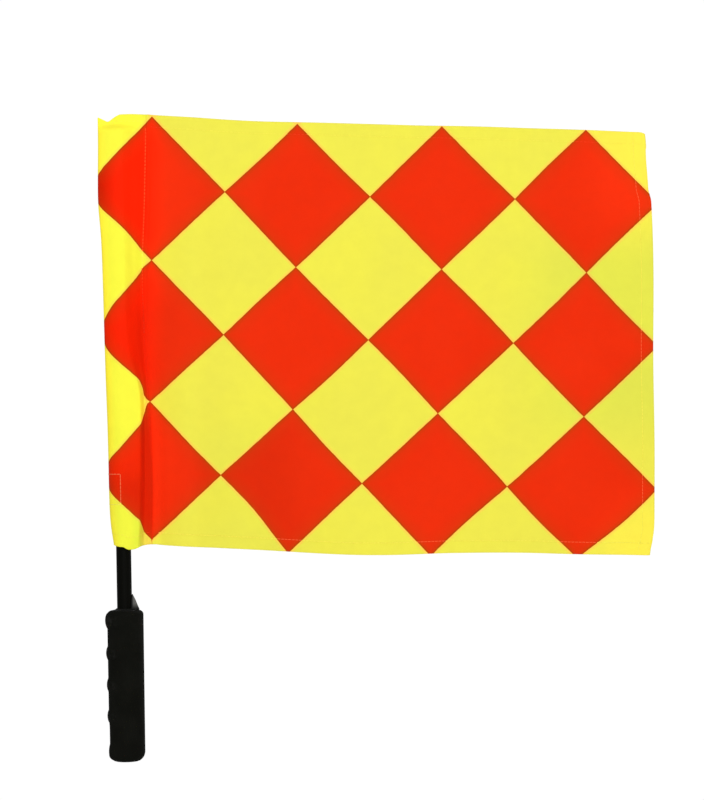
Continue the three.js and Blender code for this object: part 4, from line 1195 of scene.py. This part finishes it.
# -------------------------------------------------------------------- shaft
v, f = lathe([
    [4.8, -50.8], [5.9, -50.8], [6.05, -50.7], [6.1, -50.4], *[[6.1, z] for z in np.arange(-40.0, 446.0, 10.0)], [6.1, 448.6], [6.05, 448.9],
    [5.9, 449.0], [4.8, 449.0],
], 96)
tube = add_mesh("shaft", v, outward(v, f), SHAFT)
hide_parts("shaft_tube")
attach(tube, "shaft")

dome = [[6.1 * math.cos(a), 450.3 + 1.9 * math.sin(a)] for a in np.linspace(0, math.pi / 2, 14)]
dome[-1][0] = 0.0
v, f = lathe([[0, 437.0], [4.3, 437.0], [4.5, 437.3], [4.5, 449.3], [5.95, 449.3], [6.1, 449.5], *dome], 96)
tip = add_mesh("tip_cap", v, outward(v, f), CORE)
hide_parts("shaft_tip_cap")
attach(tip, "shaft")


# --------------------------------------------------- hook-and-loop patches
def curved_pad(r0, r1, z0, z1, half_angle, na=48, nz=40):
    """A pad on the -X side of the shaft, its edges rolled down and its corners rounded."""
    a = np.linspace(-1, 1, na)
    b = np.linspace(-1, 1, nz)
    aa, bb = np.meshgrid(a, b, indexing="ij")
    squeeze = 1 - 0.10 * np.abs(bb) ** 14
    theta = math.pi + half_angle * aa * squeeze
    z = (z0 + z1) / 2 + (z1 - z0) / 2 * bb * (1 - 0.06 * np.abs(aa) ** 14)
    edge = np.clip(1 - np.maximum(np.abs(aa), np.abs(bb)) ** 22, 0, 1) ** 0.5
    out_r = r0 + (r1 - r0) * (0.35 + 0.65 * edge)
    front = np.stack([out_r * np.cos(theta), out_r * np.sin(theta), z], axis=-1)
    back = np.stack([r0 * np.cos(theta), r0 * np.sin(theta), z], axis=-1)
    verts = np.concatenate([front.reshape(-1, 3), back.reshape(-1, 3)])
    i = np.arange(na * nz).reshape(na, nz)
    k = i + na * nz
    faces = np.concatenate([
        np.stack([i[:-1, :-1], i[1:, :-1], i[1:, 1:], i[:-1, 1:]], axis=-1).reshape(-1, 4),
        np.stack([k[:-1, :-1], k[:-1, 1:], k[1:, 1:], k[1:, :-1]], axis=-1).reshape(-1, 4),
        np.stack([i[:-1, 0], k[:-1, 0], k[1:, 0], i[1:, 0]], axis=-1),
        np.stack([i[:-1, -1], i[1:, -1], k[1:, -1], k[:-1, -1]], axis=-1),
        np.stack([i[0, :-1], i[0, 1:], k[0, 1:], k[0, :-1]], axis=-1),
        np.stack([i[-1, :-1], k[-1, :-1], k[-1, 1:], i[-1, 1:]], axis=-1),
    ]).tolist()
    return verts, outward(verts, faces)


HALF_ANGLE = math.radians(64.0)
parts = [curved_pad(6.4, 7.35, PATCH_Z[0], PATCH_Z[1], HALF_ANGLE)]
hooks, hook_n = [], []
for iz, z in enumerate(np.arange(PATCH_Z[0] + 1.6, PATCH_Z[1] - 1.4, 1.25)):
    for ia in range(-6, 7):
        th = math.pi + HALF_ANGLE * 0.9 * (ia + (0.25 if iz % 2 else -0.25)) / 6.5
        radial = np.array([math.cos(th), math.sin(th), 0.0])
        side = np.array([-math.sin(th), math.cos(th), 0.0]) * (1 if iz % 2 else -1)
        foot = radial * 7.25 + np.array([0, 0, z])
        hooks.append([foot, foot + radial * 0.32, foot + radial * 0.58 + side * 0.06, foot + radial * 0.68 + side * 0.22, foot + radial * 0.58 + side * 0.38, foot + radial * 0.44 + side * 0.42])
        hook_n.append([[0, 0, 1.0]] * 6)
parts.append(sweep(hooks, np.asarray(hook_n, float), np.full(6, 0.10), np.full(6, 0.10), 6))
hook_obj = add_mesh("hook_pad", *merged(parts), HOOK)
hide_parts("hook_patch")
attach(hook_obj, "shaft")

v, f = curved_pad(8.4, 9.45, PATCH_Z[0] + 0.6, PATCH_Z[1] - 0.6, HALF_ANGLE * 0.96)
loop_obj = add_mesh("loop_pad", v, f, LOOP)
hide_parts("loop_patch")
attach(loop_obj, "pocket")

# ------------------------------------------------------ carried-over nodes
for name, material in (
    ("handle_core", CORE), ("lower_bush", NYLON), ("shaft_end_plug", PLUG), ("thrust_collar", NYLON),
    ("retaining_washer", STEEL), ("retaining_screw", STEEL),
):
    for slot_ in NODES[name].material_slots:
        slot_.material = material

# ------------------------------------------------------------ floor and light
AMBIENT = 0.47


def white_world():
    world = bpy.data.worlds.new("studio")
    world.use_nodes = True
    t = world.node_tree
    t.nodes.clear()
    out_node = t.nodes.new("ShaderNodeOutputWorld")
    seen = t.nodes.new("ShaderNodeBackground")
    seen.inputs[0].default_value = (1, 1, 1, 1)
    seen.inputs[1].default_value = 1.02
    lit = t.nodes.new("ShaderNodeBackground")
    lit.inputs[0].default_value = (1, 1, 1, 1)
    lit.inputs[1].default_value = AMBIENT
    path = t.nodes.new("ShaderNodeLightPath")
    mix = t.nodes.new("ShaderNodeMixShader")
    t.links.new(path.outputs["Is Camera Ray"], mix.inputs[0])
    t.links.new(lit.outputs[0], mix.inputs[1])
    t.links.new(seen.outputs[0], mix.inputs[2])
    t.links.new(mix.outputs[0], out_node.inputs["Surface"])
    scene.world = world


def floor_material():
    mat = bpy.data.materials.new("floor")
    mat.use_nodes = True
    t = mat.node_tree
    t.nodes.clear()
    out_node = t.nodes.new("ShaderNodeOutputMaterial")
    base_node = t.nodes.new("ShaderNodeBsdfDiffuse")
    base_node.inputs["Color"].default_value = (0.86, 0.86, 0.86, 1)
    glow = t.nodes.new("ShaderNodeEmission")
    glow.inputs["Strength"].default_value = 1.02
    coords = t.nodes.new("ShaderNodeTexCoord")
    length = t.nodes.new("ShaderNodeVectorMath")
    length.operation = "LENGTH"
    t.links.new(coords.outputs["Object"], length.inputs[0])
    fade = t.nodes.new("ShaderNodeMapRange")
    fade.interpolation_type = "SMOOTHERSTEP"
    for key, value in zip(("From Min", "From Max", "To Min", "To Max"), (0.15, 0.33, 0.0, 1.0)):
        fade.inputs[key].default_value = value
    t.links.new(length.outputs["Value"], fade.inputs["Value"])
    path = t.nodes.new("ShaderNodeLightPath")
    seen = t.nodes.new("ShaderNodeMath")
    seen.operation = "MULTIPLY"
    t.links.new(fade.outputs[0], seen.inputs[0])
    t.links.new(path.outputs["Is Camera Ray"], seen.inputs[1])
    mix = t.nodes.new("ShaderNodeMixShader")
    t.links.new(seen.outputs[0], mix.inputs[0])
    t.links.new(base_node.outputs[0], mix.inputs[1])
    t.links.new(glow.outputs[0], mix.inputs[2])
    t.links.new(mix.outputs[0], out_node.inputs["Surface"])
    return mat


FLOOR_Z = -150.0
size = 30000.0
floor = add_mesh("floor", [[-size, -size, 0], [size, -size, 0], [size, size, 0], [-size, size, 0]], [[0, 1, 2, 3]], floor_material(), smooth_faces=False)
floor.location = (0.12, 0.0, FLOOR_Z * MM)
white_world()


def softbox(name, place, target, size_m, power, colour=(1, 1, 1)):
    light = bpy.data.lights.new(name, "AREA")
    light.shape = "DISK"
    light.size = size_m
    light.energy = power
    light.color = colour
    obj = bpy.data.objects.new(name, light)
    scene.collection.objects.link(obj)
    from mathutils import Vector

    direction = Vector(target) - Vector(place)
    obj.matrix_world = Matrix.Translation(place) @ direction.to_track_quat("-Z", "Y").to_matrix().to_4x4()
    obj.visible_camera = False
    return obj


softbox("key", (0.22, -2.5, 1.1), (0.2, 0.0, 0.28), 0.9, 37.0)
softbox("back_fill", (1.5, 2.0, 1.3), (0.2, 0.0, 0.28), 1.2, 30.0)
